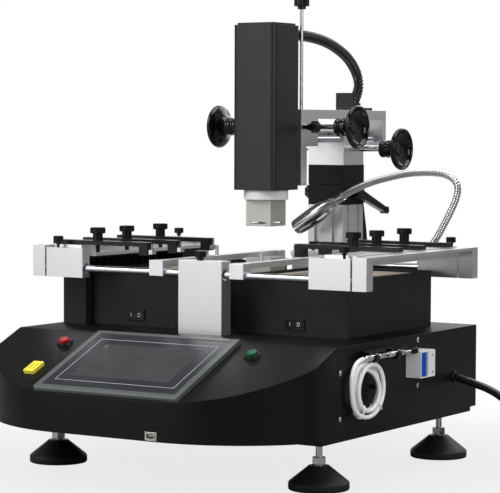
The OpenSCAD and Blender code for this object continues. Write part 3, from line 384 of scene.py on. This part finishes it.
breakerWhite = grained("breakerWhite", (0.86, 0.87, 0.89), 0.4, 500, colourShift=0.03, roughShift=0.05,
                       bump=0.08)
toggleBlue = grained("toggleBlue", (0.004, 0.075, 0.48), 0.4, 400, specular=0.2, colourShift=0.08,
                     roughShift=0.05)
ceramicTile = grained("ceramicTile", (0.3, 0.25, 0.19), 0.72, 150, colourShift=0.22, roughShift=0.1,
                      bump=0.3)
# painted shade: near-black for the shade inside the screws' cross recesses
paintedRecessShade = grained("paintedRecessShade", (0.004, 0.004, 0.004), 0.8, 300, colourShift=0.2)
silicone, siliconeShader = newFinish("silicone", (0.93, 0.94, 0.96), 0.3)
for socket, value in (("Coat Weight", 0.2), ("Coat Roughness", 0.08), ("Subsurface Weight", 0.3),
                      ("Subsurface Radius", (0.004, 0.004, 0.004))):
    siliconeShader.inputs[socket].default_value = value
addGrain(silicone, siliconeShader, 250, colourShift=0.03, roughShift=0.06)
print("finishes made")


# Dressed copies of the CAD nodes: same solid, eased edges and smooth shading

nodeMesh = {"mergeM": 2e-6, "flatDeg": 0.4}  # points this near are merged, and faces this flat are joined


def dress(node, finish, bevelMm, tip=None):
    source = frame["nodes"][node]
    mesh = source.data.copy()
    mesh.name = node + "_dressed"
    bm = bmesh.new()
    bm.from_mesh(mesh)
    bmesh.ops.remove_doubles(bm, verts=bm.verts, dist=nodeMesh["mergeM"])
    flat = math.radians(nodeMesh["flatDeg"])
    bmesh.ops.dissolve_limit(bm, angle_limit=flat, verts=bm.verts, edges=bm.edges)
    bm.to_mesh(mesh)
    bm.free()
    mesh.materials.clear()
    mesh.materials.append(finish)
    index = np.zeros(len(mesh.polygons), np.int32)
    if tip:
        # faces nearer the middle than the given distance get the tip's finish
        mesh.materials.append(tip[0])
        centres = np.empty(3 * len(mesh.polygons))
        mesh.polygons.foreach_get("center", centres)
        index[np.abs(centres[::3] * 1000 + originMm[0]) < tip[1]] = 1
    mesh.polygons.foreach_set("material_index", index)
    shadeByAngle(mesh)
    obj = bpy.data.objects.new(node + "_dressed", mesh)
    scene.collection.objects.link(obj)
    addBevel(obj, bevelMm)
    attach(obj, source["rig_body"])
    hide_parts(node)
    return obj


# Cords: the power cord with its coil, and the suction hose wound beside the pen

def windLanes(lanes, change, turns, perTurn):
    # the winding keeps to one lane per turn and eases over to the next one between two shares of the turn;
    # the last lane has no next one, so its change lies past the end
    t = np.linspace(0, turns, int(turns * perTurn) + 1)
    lane = np.minimum(np.floor(t), len(lanes) - 1).astype(int)
    never = (2.0, 3.0)
    start, end = np.asarray(list(change) + [never])[lane].T
    part = np.clip((t - lane - start) / (end - start), 0, 1)
    ease = (part * part * (3 - 2 * part))[:, None]
    table = np.asarray(list(lanes) + [lanes[-1]], float)
    return t, table[lane] * (1 - ease) + table[lane + 1] * ease


tieLoop = {"points": 41, "power": 0.55, "tightPoints": 49, "sides": 8}


def roundedLoop(halfU, halfW):
    # cosine and sine raised to the same small power give a rounded rectangle
    t = np.linspace(0, 2 * math.pi, tieLoop["points"])
    x, y = (np.sign(f) * np.abs(f) ** tieLoop["power"] for f in (np.cos(t), np.sin(t)))
    return np.stack([x * halfU, y * halfW], axis=1)


def tightLoop(strands, r):
    # in each direction the strand that lies furthest that way, plus its radius
    t = np.linspace(0, 2 * math.pi, tieLoop["tightPoints"])
    way = np.stack([np.cos(t), np.sin(t)], axis=1)
    return strands[np.argmax(way @ strands.T, axis=1)] + r * way


def band(name, centre, u, w, loop, r, finish):
    # tie: thin round strand that follows a closed loop in the plane of u and w
    u, w = np.asarray(u, float), np.asarray(w, float)
    path = np.asarray(centre, float) + loop[:, :1] * u + loop[:, 1:] * w
    return tube(name, toPart(path), r / 1000, tieLoop["sides"], np.cross(u, w), finish)


mainsCord = {
    "route": [(257, 180, 120.5), (266, 180, 118.1), (275, 180, 115.7), (288, 180, 112.2),
              (300.4, 180, 108.8), (312, 180, 104.6), (324, 180, 98.6), (336, 180, 90.3),
              (344, 180, 82.4), (350.7, 180, 73.5), (360, 180, 60.2), (370, 180, 45.9),
              (380.4, 180, 31.1), (387.1, 180, 23.1), (395.1, 180, 16.4), (404.1, 180, 11.1),
              (414, 180, 7.5), (422.2, 180, 5.95)],
    "perStretch": 6, "aside": (-0.7, 0.7, 0.25),
    "diameter": 11.0, "sides": 16, "step": 3.0, "coilAt": (429.5, 245.8), "coilMean": 60.0,
    "turns": 3.25, "perTurn": 72,
    "change": [(0.74, 1.0), (0.5, 0.72), (0.3, 0.5)],  # shares of each turn
    "laneOut": 0.53, "laneLow": 0.5, "laneHigh": 1.52,  # in diameters
    "tail": [(0, 12, -0.6), (0, 26, -2.4)], "plugY": 40.5, "plugZ": 13.0, "intoPlug": 3.0, "plugEdge": 0.6,
    "tieAngle": -0.3, "tieHalf": (1.22, 1.01), "tieLift": 1.2, "tieR": 1.0,
}


def makeMainsCord(c):
    r, d = c["coilMean"], c["diameter"]
    near, far, low, high = r - d * c["laneOut"], r + d * c["laneOut"], d * c["laneLow"], d * c["laneHigh"]
    lanes = [(far, low), (near, low), (near, high), (far, high)]
    t, lane = windLanes(lanes, c["change"], c["turns"], c["perTurn"])
    a = 2 * math.pi * t - math.pi / 2
    x, y = c["coilAt"]
    coil = np.stack([x + lane[:, 0] * np.cos(a), y + lane[:, 0] * np.sin(a), lane[:, 1]], axis=1)
    tail = coil[-1] + np.array(c["tail"] + [(0, c["plugY"] + c["intoPlug"], c["plugZ"] - high)])
    path = evenly(np.concatenate([curveThrough(c["route"], c["perStretch"])[:-1], coil, tail]), c["step"])
    piece = tube("powerLead", toPart(path), d / 2000, c["sides"], c["aside"], cordBlack)
    across = np.array([math.cos(c["tieAngle"]), math.sin(c["tieAngle"]), 0])
    tie = band("leadTie", (x, y, 0) + across * r + np.array([0, 0, d + c["tieLift"]]), across, (0, 0, 1),
               roundedLoop(d * c["tieHalf"][0], d * c["tieHalf"][1]), c["tieR"], mouldedBlack)
    for extra in (piece, tie):
        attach(extra, "base")
    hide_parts("power_cord", "cord_coil")
    plug = dress("plug", mouldedBlack, c["plugEdge"])


hose = {
    "route": [(270, -107.8, 171.3), (270, -110, 171.3), (270, -112.5, 171.3), (270, -119.1, 170.4),
              (270, -125.3, 167.9), (270, -130.6, 163.8), (270, -134.6, 158.5), (270, -137.1, 152.4),
              (270, -138.0, 145.8), (269.8, -138.0, 137.5)],
    "perStretch": 6, "aside": (1, 0.05, 0.03),
    "diameter": 6.0, "sides": 14, "centre": (-90.3, 129.5), "reach": (32.0, 30.4), "midX": 266.0,
    "turns": 3.18, "perTurn": 80,
    "lanes": [(3.2, 3.2, 4.0), (3.2, -3.1, 0.0), (-3.3, -3.1, 0.0), (-3.3, 3.2, 1.2)],  # X, outwards, spread
    "change": [(0.6, 1.0), (0.45, 0.75), (0.18, 0.52)], "spreadAt": 0.5,
    "entry": 12.6, "entryTurns": 0.15,  # the first strand starts this much further out
    "skip": 5,  # points left off the coil's start, where the route joins it
    "fineStep": 1.0, "softReach": 6, "softTimes": 4, "step": 1.5,
    "ties": (("hoseTieLeft", 4.05), ("hoseTieRight", 5.5)), "tieR": 0.9,  # angles in radians
}


def makeHose(h):
    # ellipse whose reach grows by each lane's offset, by its spread on one side,
    # and by the entry, which dies away
    d = h["diameter"]
    t, lane = windLanes(h["lanes"], h["change"], h["turns"], h["perTurn"])
    a = math.pi + 2 * math.pi * t
    spread = lane[:, 2] * (0.5 + 0.5 * np.cos(a - h["spreadAt"])) ** 2
    out = lane[:, 1] + spread + h["entry"] * np.exp(-(t / h["entryTurns"]) ** 2)
    coil = np.stack([h["midX"] + lane[:, 0], h["centre"][0] + (h["reach"][0] + out) * np.cos(a),
                     h["centre"][1] + (h["reach"][1] + out) * np.sin(a)], axis=1)
    lead = curveThrough(h["route"], h["perStretch"])
    rough = evenly(np.concatenate([lead, coil[h["skip"]:]]), h["fineStep"])
    path = evenly(soften(rough, h["softReach"], h["softTimes"]), h["step"])
    piece = tube("suctionTube", toPart(path), d / 2000, h["sides"], h["aside"], silicone)
    ties = []
    for name, angle in h["ties"]:
        at = np.arange((angle - math.pi) / (2 * math.pi), h["turns"], 1.0)
        strands = np.stack([np.interp(at, t, out), np.interp(at, t, lane[:, 0])], axis=1)
        across = np.array([0, math.cos(angle), math.sin(angle)])
        centre = np.array([h["midX"], h["centre"][0] + h["reach"][0] * math.cos(angle),
                           h["centre"][1] + h["reach"][1] * math.sin(angle)])
        loop = tightLoop(strands, d / 2 + h["tieR"])
        ties.append(band(name, centre, across, (1, 0, 0), loop, h["tieR"], silicone))
    for extra in [piece] + ties:
        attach(extra, "base")
    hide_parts("suction_hose", "hose_coil")


makeMainsCord(mainsCord)
makeHose(hose)


# Nodes that keep their CAD shape: finish and width of the eased edges in millimetres

dressed = {
    "chassis_shell": (powderBlack, 1.6), "bottom_pan": (powderBlack, 0.6),
    "side_covers": (powderBlack, 0.6), "heater_boxes": (heaterBlack, 0.8),
    "fan_housing": (heaterBlack, 0.8), "foot_pads": (rubberBlack, 0.5),
    "foot_studs": (nickelPlate, 0.4), "panel_bezel": (bezelGrey, 0.8),
    "switch_bezels": (mouldedBlack, 0.4), "red_button": (redLens, 0.8),
    "green_button": (greenLens, 0.8), "thermocouple_socket": (socketYellow, 0.4),
    "usb_port": (nickelPlate, 0.2), "breaker_body": (breakerWhite, 0.25),
    "breaker_toggle": (toggleBlue, 0.3), "cord_gland": (mouldedBlack, 0.3),
    "pen_holder": (mouldedBlack, 0.4), "heater_tiles": (ceramicTile, 0.8),
    "left_rocker": (mouldedBlack, 0.3), "right_rocker": (mouldedBlack, 0.3),
    "lower_heater": (blastedSteel, 0.5), "rod_posts": (anodisedUpright, 0.6),
    "post_knobs": (mouldedBlack, 0.5), "fixture_rods": (groundSteel, 0.4),
    "end_frames": (anodised, 0.6), "left_carriage": (anodised, 0.6), "right_carriage": (anodised, 0.6),
    "left_carriage_knobs": (mouldedBlack, 0.5), "right_carriage_knobs": (mouldedBlack, 0.5),
    "left_support_bar": (anodised, 0.5), "right_support_bar": (anodised, 0.5),
    "column": (anodisedUpright, 0.5), "column_bracket": (powderBlack, 0.8),
    "clamp_block": (powderBlack, 0.8), "clamp_lever": (mouldedBlack, 0.8),
    "bearing_block": (anodised, 0.7), "arm_frame": (anodised, 0.7), "arm_rails": (groundSteel, 0.2),
    "arm_fittings": (mouldedBlack, 0.5), "head_housing": (headCharcoal, 0.6),
    "head_slide": (anodisedUpright, 0.3), "nozzle_flange": (micaBoard, 1.2),
    "nozzle": (blastedSteel, 0.5), "panel_screen": (filmSlate, 0.2),
}
for node, (finish, width) in dressed.items():
    dress(node, finish, width)
clampArms = {"edge": 0.5, "hookFrom": 89.5}  # the bright hook is the part nearer the middle than hookFrom
for side in ("left", "right"):
    for place in ("front", "middle", "rear"):
        dress(f"{side}_{place}_arm", blackOxide, clampArms["edge"], (nickelPlate, clampArms["hookFrom"]))
print("nodes dressed")


# Fan cowl: channel above the fan housing, open towards the board, with upright vanes in its mouth; its black
# also fills the shaded band under the left rail's ledge as painted shade

cowl = {
    "x": (-245.0, -206.0), "y": (-58.0, 187.0), "z": (254.2, 285.2), "mouth": (262.0, 281.0), "deep": 24.0,
    "vanes": 15, "vaneT": 1.4, "vaneIn": 2.0, "vaneSeat": 0.5, "edge": 0.4,
}


def makeCowl(c):
    # the same C-shaped section runs the whole length; each vane is a thin plate across the mouth
    (x0, x1), (y0, y1), (z0, z1), (m0, m1) = c["x"], c["y"], c["z"], c["mouth"]
    inner, front, seat = x1 - c["deep"], x1 - c["vaneIn"], c["vaneSeat"]
    section = np.array([(x0, z0), (x1, z0), (x1, m0), (inner, m0),
                        (inner, m1), (x1, m1), (x1, z1), (x0, z1)])
    back, low, high = inner - seat, m0 - seat, m1 + seat
    plate = np.array([(back, low), (front, low), (front, high), (back, high)])
    starts = np.linspace(y0, y1 - c["vaneT"], c["vanes"])
    spans = [(section, y0, y1)] + [(plate, y, y + c["vaneT"]) for y in starts]
    pieces = []
    for i, (flat, *ends) in enumerate(spans):
        outline = (flat - originMm[[0, 2]]) / 1000
        start, end = ((y - originMm[1]) / 1000 for y in ends)
        pieces.append(prism(f"cowl{i}", outline, start, end, heaterBlack, "xzy"))
    # painted shade: this black channel fills the shaded band under the left rail's ledge
    whole = joinPieces("cowlShadeFill", pieces)
    addBevel(whole, c["edge"])
    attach(whole, "base")


makeCowl(cowl)
print("cowl made")


# Handwheels: hub with two ribs, trumpet flare and dished face, on a ground shaft with its pinion

wheel = {
    "profile": [(0, 0), (10.5, 0), (12.2, 0.6), (12.8, 2.5), (12.4, 5), (11.2, 6.2), (11.2, 8), (12.4, 9),
                (13, 11.5), (12.6, 14.5), (12.6, 16.5), (14.5, 19.5), (19, 23.2), (24.5, 26.2),
                (28.6, 28.8), (30.6, 31.4), (31, 33.6), (30.2, 35.6), (28.6, 36.4), (27, 35.4),
                (24.5, 31.6), (20.5, 28.6), (15.5, 26.8), (11, 26), (8.6, 26.4), (7.6, 27.4), (0, 27.4)],
    "perStretch": 4, "sides": 80, "shaftR": 4.0, "shaftSides": 32, "intoHub": 8.0, "pinionHalf": 5.0,
    # each point of a tooth: height over the pitch circle, share of the pitch
    "tooth": [(-1.2, -0.31), (0, -0.2), (0.8, -0.1), (0.8, 0.1), (0, 0.2), (-1.2, 0.31)],
}
drives = {
    "slideWheels": {"body": "slide_wheels", "node": "slide_drive", "at": (287, 436), "hubX": 78,
                    "teeth": 32, "phase": 180},
    "liftWheels": {"body": "lift_wheels", "node": "lift_drive", "at": (146, 468), "hubX": 83,
                   "teeth": 18, "phase": 10},
}


def makeDrive(name, c):
    y, z = c["at"]
    profile = curveThrough(wheel["profile"], wheel["perStretch"])
    pieces = []
    for side, sign in (("Left", -1), ("Right", 1)):
        hub = toPart((sign * c["hubX"], y, z))
        pieces.append(lathe(name + "Wheel" + side, profile, hub, (sign, 0, 0), polishedBlack, wheel["sides"]))
    r, reach = wheel["shaftR"], c["hubX"] + wheel["intoHub"]
    rod = [(0, -reach), (r, -reach), (r, reach), (0, reach)]
    steel = lathe(name + "Shaft", rod, toPart((0, y, z)), (1, 0, 0), groundSteel, wheel["shaftSides"])
    shadeByAngle(steel.data)
    # the pinion's module is 1 mm, so its pitch radius is half its number of teeth
    tooth = np.array(wheel["tooth"])
    pitch = 2 * math.pi / c["teeth"]
    a = (np.arange(c["teeth"])[:, None] + tooth[None, :, 1]) * pitch + math.radians(c["phase"])
    radius = np.broadcast_to(c["teeth"] / 2 + tooth[None, :, 0], a.shape)
    ring = np.stack([y + radius * np.sin(a), z - radius * np.cos(a)], axis=-1).reshape(-1, 2)
    outline = (ring - originMm[1:]) / 1000
    low, high = ((end - originMm[0]) / 1000 for end in (-wheel["pinionHalf"], wheel["pinionHalf"]))
    gear = prism(name + "Pinion", outline, low, high, groundSteel)
    whole = joinPieces(name, pieces + [steel, gear])
    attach(whole, c["body"])
    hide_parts(c["node"])


for name, drive in drives.items():
    makeDrive(name, drive)
print("handwheels made")


# Cable conduit: ribbed tube between the arm and the head

conduit = {
    "x": 10, "diameter": 16.0, "sides": 20, "pitch": 4.8, "perRib": 8, "rib": 0.1,
    "route": [(124, 600), (132, 600), (144, 600), (178, 599), (206, 597), (235, 593), (264, 586),
              (294, 575), (317, 561), (332, 545), (336, 530), (331, 517), (323, 507), (321, 501),
              (321, 499), (321, 497.3)],
    "perStretch": 12, "armEnd": (326, 505), "headEnd": (132, 600),
}


def makeConduit(c):
    # circle along the route, its radius a cosine wave of the rib's depth and pitch
    flat = np.asarray(c["route"], float)
    step = c["pitch"] / c["perRib"]
    route = np.column_stack([np.full(len(flat), c["x"]), flat])
    path = evenly(curveThrough(route, c["perStretch"]), step)
    s = np.arange(len(path)) * step
    wave = 1 - c["rib"] + c["rib"] * np.cos(2 * math.pi * s / c["pitch"])
    radius = c["diameter"] / 2000 * wave[:, None]
    piece = tube("ribbedConduit", toPart(path), radius, c["sides"], (1, 0, 0), conduitBlack)
    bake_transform(piece)
    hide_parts("conduit")


makeConduit(conduit)
print("conduit made")


# Work lamp: turned base, spiral gooseneck and polished shade with its lens

lamp = {
    "route": [(150, 234, 206), (150, 234, 222), (155, 234, 243), (168, 234, 268), (183, 234, 292),
              (198, 234, 312), (212, 234, 336), (225, 234, 361), (230, 234, 379), (226, 234, 392),
              (212, 233, 400.5), (190, 232, 403.5), (156, 230, 402), (124, 228, 396), (92, 225, 387),
              (61, 222, 374), (43, 222, 363)],
    "perStretch": 12, "neckD": 10.5, "sides": 16, "pitch": 3.6, "perRib": 8, "rib": 0.07, "tilt": 59.0,
    "shade": [(0, -8), (5.4, -8), (5.7, -7), (5.7, 2), (6.2, 6), (8.91, 14), (11.61, 25), (13.5, 42),
              (13.23, 60), (11.88, 82), (11.34, 83)],
    "shadePerStretch": 5, "shadeSides": 48, "shadeSmoothDeg": 50,
    "lens": [(10.665, 83), (10.395, 80), (0, 80)],
    "base": [(0, 0), (13, 0), (13, 3), (12.4, 4), (10, 6), (9, 12), (8, 17), (7, 18), (0, 18)],
    "baseAt": (150, 234, 188.4), "baseSides": 40, "baseSmoothDeg": 40,
}


def makeLamp(c):
    # circle along the route, its radius a cosine wave that runs round the neck as a spiral
    step = c["pitch"] / c["perRib"]
    path = evenly(curveThrough(c["route"], c["perStretch"]), step)
    s = np.arange(len(path))[:, None] * step
    t = (np.arange(c["sides"]) * 2 * math.pi / c["sides"])[None, :]
    radius = c["neckD"] / 2000 * (1 - c["rib"] + c["rib"] * np.cos(2 * math.pi * s / c["pitch"] - t))
    neck = tube("lampNeck", toPart(path), radius, c["sides"], (0, 1, 0), satinChrome)
    a = math.radians(180 + c["tilt"])
    axis = (math.sin(a), 0, math.cos(a))
    profile = np.concatenate([curveThrough(c["shade"], c["shadePerStretch"]), np.array(c["lens"])])
    shade = lathe("lampShade", profile, toPart(c["route"][-1]), axis, satinChrome, c["shadeSides"])
    shadeByAngle(shade.data, c["shadeSmoothDeg"])
    base = lathe("lampBase", c["base"], toPart(c["baseAt"]), (0, 0, 1), chromePlate, c["baseSides"])
    shadeByAngle(base.data, c["baseSmoothDeg"])
    whole = joinPieces("lamp", [neck, shade, base])
    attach(whole, "base")
    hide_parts("work_lamp")


makeLamp(lamp)
print("lamp made")


# Touch panel: printed line and display behind the film, lying on the console slope

slope = {
    "deg": 22.8, "topY": -149.0, "topZ": 188.4,
    "panelS": 83.52, "rise": 5.42,  # the panel's middle down the slope, and the film's height over it
}
panel = {
    "line": (93.5, 56.5), "lineHole": (92.7, 55.7), "lineProud": 0.12,
    "display": (77, 43.5), "displayProud": 0.1, "sunk": 0.1,
}


def onSlope(x, s, n):
    # point on the console slope: x across, s down the slope from its top edge, n out of it
    a = math.radians(slope["deg"])
    x, s, n = np.broadcast_arrays(np.asarray(x, float), s, n)
    y = slope["topY"] - s * math.cos(a) - n * math.sin(a)
    z = slope["topZ"] - s * math.sin(a) + n * math.cos(a)
    return toPart(np.stack([x, y, z], axis=-1))


def slopePlate(name, half, proud, finish, hole=None):
    # flat plate, or a frame round a hole, on the slope about the panel's middle:
    # its corners sunk into the film, then the same corners standing proud of it
    corners = np.array([(-1, -1), (1, -1), (1, 1), (-1, 1)], float)
    rings = [corners * half] + ([corners * hole] if hole else [])
    flat = np.concatenate(rings)
    low3 = onSlope(flat[:, 0], slope["panelS"] + flat[:, 1], slope["rise"] - panel["sunk"])
    high3 = onSlope(flat[:, 0], slope["panelS"] + flat[:, 1], slope["rise"] + proud)
    n = len(flat)
    i = np.arange(4)
    k = (i + 1) % 4
    if hole:
        faces = np.concatenate([
            np.stack([n + i, n + k, n + 4 + k, n + 4 + i], 1), np.stack([i, 4 + i, 4 + k, k], 1),
            np.stack([i, k, n + k, n + i], 1), np.stack([4 + i, n + 4 + i, n + 4 + k, 4 + k], 1)]).tolist()
    else:
        faces = [[0, 1, 2, 3], [7, 6, 5, 4]] + np.stack([i, i + 4, k + 4, k], 1).tolist()
    obj = meshObject(name, np.concatenate([low3, high3]), faces, finish, False)
    closeUp(obj.data)
    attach(obj, "base")
    return obj


line = slopePlate("panelLine", panel["line"], panel["lineProud"], filmLine, panel["lineHole"])
slopePlate("display", panel["display"], panel["displayProud"], lcdGrey)
print("panel made")


# Suction pen: chrome body with a hose tail, thin neck and black cup

pen = {
    "at": (270, -107.8, 171.3),
    "body": [(0, 0), (2.3, 0), (2.3, 8.4), (3.4, 8.8), (4, 10), (4, 62), (3.7, 62.5), (3.7, 64),
             (4, 64.5), (4, 106), (3.2, 107.2), (1.6, 108), (1.6, 130.4), (0, 130.4)],
    "cup": [(0, 129.8), (2.4, 129.8), (3.2, 131), (3.4, 134), (5, 136), (5, 141.4), (4.6, 141.8),
            (0, 141.8)],
    "sides": 32, "smoothDeg": 40,
}


def makePen(c):
    pieces = [lathe("penBody", c["body"], toPart(c["at"]), (0, 1, 0), chromePlate, c["sides"]),
              lathe("penCup", c["cup"], toPart(c["at"]), (0, 1, 0), mouldedBlack, c["sides"])]
    for piece in pieces:
        shadeByAngle(piece.data, c["smoothDeg"])
    whole = joinPieces("pen", pieces)
    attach(whole, "base")
    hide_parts("suction_pen")


makePen(pen)


# Rocker marks: a bar on the half that stands proud and a ring on the other one

rockerMarks = {
    "x": 130, "y": -46, "z": 204.4, "tilt": 9.0, "middle": 6.1, "face": -2.62, "lean": 5.5,
    "barHalf": 2.6, "barPoints": 6, "ring": (1.9, 2.5), "ringPoints": 25,
    "strokeR": 0.4, "sides": 8, "aside": (0.1, 1, 0),
}


def makeRockerMarks(c, side, body):
    t = np.linspace(0, 2 * math.pi, c["ringPoints"])
    rise = np.linspace(-c["barHalf"], c["barHalf"], c["barPoints"])
    bar = np.stack([np.zeros_like(rise), rise], axis=1)
    ring = np.stack([c["ring"][0] * np.cos(t), c["ring"][1] * np.sin(t)], axis=1)
    pieces = []
    for name, flat, half in (("Bar", bar, -1), ("Ring", ring, 1)):
        lean, turn = (math.radians(v) for v in (c["lean"] * -half, c["tilt"]))
        x = half * c["middle"] + flat[:, 0] * math.cos(lean)
        y = c["face"] + flat[:, 0] * math.sin(lean)
        path = np.stack([side * c["x"] + x * math.cos(turn) - y * math.sin(turn),
                         c["y"] + x * math.sin(turn) + y * math.cos(turn), c["z"] + flat[:, 1]], axis=1)
        pieces.append(tube(body + name, toPart(path), c["strokeR"] / 1000, c["sides"], c["aside"], markWhite))
    whole = joinPieces(body + "Marks", pieces)
    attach(whole, body)


makeRockerMarks(rockerMarks, -1, "left_rocker")
makeRockerMarks(rockerMarks, 1, "right_rocker")
print("pen and rocker marks made")


# Screws: domed heads, with painted shade standing in for the cross recess

screw = {  # shapes in head radii
    "dome": [(0, 0), (1, 0), (1, 0.25), (0.86, 0.5), (0.55, 0.66), (0, 0.72)],
    "shadeBar": [(-0.55, -0.1), (0.55, -0.1), (0.55, 0.1), (-0.55, 0.1)], "shadeBarFrom": 0.3, "shadeBarTo": 0.745,
    "sides": 20, "aside": (0.2, 0.9, 0.4),
    "coverX": 254, "coverD": 7.5, "coverAt": [(-140, 155), (-140, 96), (70, 181), (70, 119)],
    "breakerX": 277, "breakerD": 3.2, "breakerAt": [(70, 139.5), (70, 162.5)],
}


def crossScrew(name, at, axis, d):
    # turned dome, and two dark bars that cross in its top: painted shade of the cross recess
    r = d / 2
    head = lathe(name, np.array(screw["dome"]) * r, toPart(at), axis, nickelPlate, screw["sides"])
    axis = np.asarray(axis, float)
    u, w = acrossAxis(axis, screw["aside"])
    bars = []
    for a, b in ((u, w), (w, u)):
        flat = np.array(screw["shadeBar"]) * r / 1000
        ring = flat[:, :1] * a + flat[:, 1:] * b
        low, high = (toPart(at) + axis * k * r / 1000 + ring for k in (screw["shadeBarFrom"], screw["shadeBarTo"]))
        bar = meshObject(name + "ShadeBar", np.concatenate([low, high]), gridFaces(2, 4), paintedRecessShade, False)
        closeUp(bar.data)
        bars.append(bar)
    whole = joinPieces(name, [head] + bars)
    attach(whole, "base")


for i, (y, z) in enumerate(screw["coverAt"]):
    crossScrew(f"coverScrewRight{i}", (screw["coverX"], y, z), (1, 0, 0), screw["coverD"])
    crossScrew(f"coverScrewLeft{i}", (-screw["coverX"], y, z), (-1, 0, 0), screw["coverD"])
for i, (y, z) in enumerate(screw["breakerAt"]):
    crossScrew(f"breakerScrew{i}", (screw["breakerX"], y, z), (1, 0, 0), screw["breakerD"])
print("screws made")


# Floor, background and light

studio = {
    "backdrop": (0.8, 0.95), "room": 0.1, "fill": 0.42, "whiteFrom": (0.3, 0.8), "whiteLeast": 0.8,
    "floorGrey": 0.25, "floorRough": 0.8, "floorSpecular": 0.1,
    "floor": [(-6000, -5000, 0), (6000, -5000, 0), (6000, 7000, 0), (-6000, 7000, 0)],
    "glowTowards": (0.56, 0.62, 0.55), "glowFrom": (0.55, 0.95), "glow": 0.45, "aim": (0, 60, 250),
    # name, place, width and height in metres, watts
    "lamps": [("key", (-1000, -1500, 1750), 1.2, 1.2, 34), ("front", (-1150, -2400, 520), 2.0, 1.5, 13.5),
              ("top", (200, 300, 2000), 1.6, 1.6, 26), ("side", (1900, -900, 1000), 0.8, 1.0, 12),
              ("rim", (150, 1900, 1500), 1.6, 1.0, 12)],
}


def linked(tree, kind, wires, **settings):
    # one node of the given kind: sockets in wires are joined, or set where a plain number is given
    node = tree.nodes.new("ShaderNode" + kind)
    for key, value in settings.items():
        setattr(node, key, value)
    for key, source in wires.items():
        if isinstance(source, bpy.types.NodeSocket):
            tree.links.new(source, node.inputs[key])
        else:
            node.inputs[key].default_value = source
    return node


def flatAhead():
    # level direction in which the camera looks
    a = math.radians(view["turn"])
    return (-math.sin(a), math.cos(a), 0.0)


def easedRange(tree, value, ends, low=0.0, high=1.0):
    # eases from low to high while the value goes from one end to the other
    wires = {"Value": value, "From Min": ends[0], "From Max": ends[1], "To Min": low, "To Max": high}
    return linked(tree, "MapRange", wires, interpolation_type="SMOOTHSTEP").outputs["Result"]


def mathNode(tree, operation, a, b):
    return linked(tree, "Math", {0: a, 1: b}, operation=operation).outputs[0]


def vectorNode(tree, operation, *inputs):
    return linked(tree, "VectorMath", dict(enumerate(inputs)), operation=operation).outputs["Value"]


def makeFloor(c):
    # pale floor, white to the camera and to reflections that look towards the backdrop
    mat = bpy.data.materials.new("floorWhite")
    mat.use_nodes = True
    tree = mat.node_tree
    shader = tree.nodes["Principled BSDF"]
    shader.inputs["Base Color"].default_value = (c["floorGrey"], c["floorGrey"], c["floorGrey"], 1)
    shader.inputs["Roughness"].default_value = c["floorRough"]
    shader.inputs["Specular IOR Level"].default_value = c["floorSpecular"]
    rays = linked(tree, "LightPath", {}).outputs
    coords = linked(tree, "TexCoord", {}).outputs["Object"]
    distance = vectorNode(tree, "LENGTH", coords)
    behind = vectorNode(tree, "DOT_PRODUCT", coords, flatAhead())
    around = easedRange(tree, distance, c["whiteFrom"], low=c["whiteLeast"])
    beyond = easedRange(tree, mathNode(tree, "DIVIDE", behind, distance), c["backdrop"])
    direct = mathNode(tree, "MULTIPLY", rays["Is Camera Ray"], around)
    indirect = mathNode(tree, "MAXIMUM", rays["Is Glossy Ray"], rays["Is Transmission Ray"])
    mirrored = mathNode(tree, "MULTIPLY", indirect, beyond)
    share = mathNode(tree, "MAXIMUM", direct, mirrored)
    white = linked(tree, "Emission", {"Color": (1, 1, 1, 1), "Strength": 1.0})
    mix = linked(tree, "MixShader", {0: share, 1: shader.outputs[0], 2: white.outputs[0]})
    tree.links.new(mix.outputs[0], tree.nodes["Material Output"].inputs["Surface"])
    meshObject("floor", toPart(c["floor"]), [[0, 1, 2, 3]], mat, False)


def makeWorld(c):
    # white where the camera looks and where a reflection looks the same way; a dim room elsewhere;
    # even fill for the rest
    world = bpy.data.worlds.new("studio")
    scene.world = world
    world.use_nodes = True
    tree = world.node_tree
    rays = linked(tree, "LightPath", {}).outputs
    coords = linked(tree, "TexCoord", {}).outputs["Generated"]
    facing = vectorNode(tree, "DOT_PRODUCT", coords, flatAhead())
    upper = vectorNode(tree, "DOT_PRODUCT", coords, c["glowTowards"])
    backdrop = easedRange(tree, facing, c["backdrop"], low=c["room"])
    glow = easedRange(tree, upper, c["glowFrom"], high=c["glow"])
    level = mathNode(tree, "MAXIMUM", rays["Is Camera Ray"], mathNode(tree, "MAXIMUM", backdrop, glow))
    mirrored = mathNode(tree, "MAXIMUM", rays["Is Glossy Ray"], rays["Is Transmission Ray"])
    seen = mathNode(tree, "MAXIMUM", mirrored, rays["Is Camera Ray"])
    strength = linked(tree, "Mix", {0: seen, 2: c["fill"], 3: level})
    tree.links.new(strength.outputs[0], tree.nodes["Background"].inputs["Strength"])
    tree.nodes["Background"].inputs["Color"].default_value = (1, 1, 1, 1)


def makeLamps(c):
    for name, at, width, height, watts in c["lamps"]:
        data = bpy.data.lights.new(name, "AREA")
        data.shape = "RECTANGLE"
        data.size, data.size_y = width, height
        data.energy = watts
        obj = bpy.data.objects.new(name, data)
        scene.collection.objects.link(obj)
        place, aim = toPart(at), toPart(c["aim"])
        back = (place - aim) / np.linalg.norm(place - aim)
        side = np.cross((0, 0, 1), back)
        side /= np.linalg.norm(side)
        m = np.eye(4)
        m[:3, :3] = np.stack([side, np.cross(back, side), back], axis=1)
        m[:3, 3] = place
        obj.matrix_world = Matrix(m.tolist())


makeFloor(studio)
makeWorld(studio)
makeLamps(studio)
print("stage made")
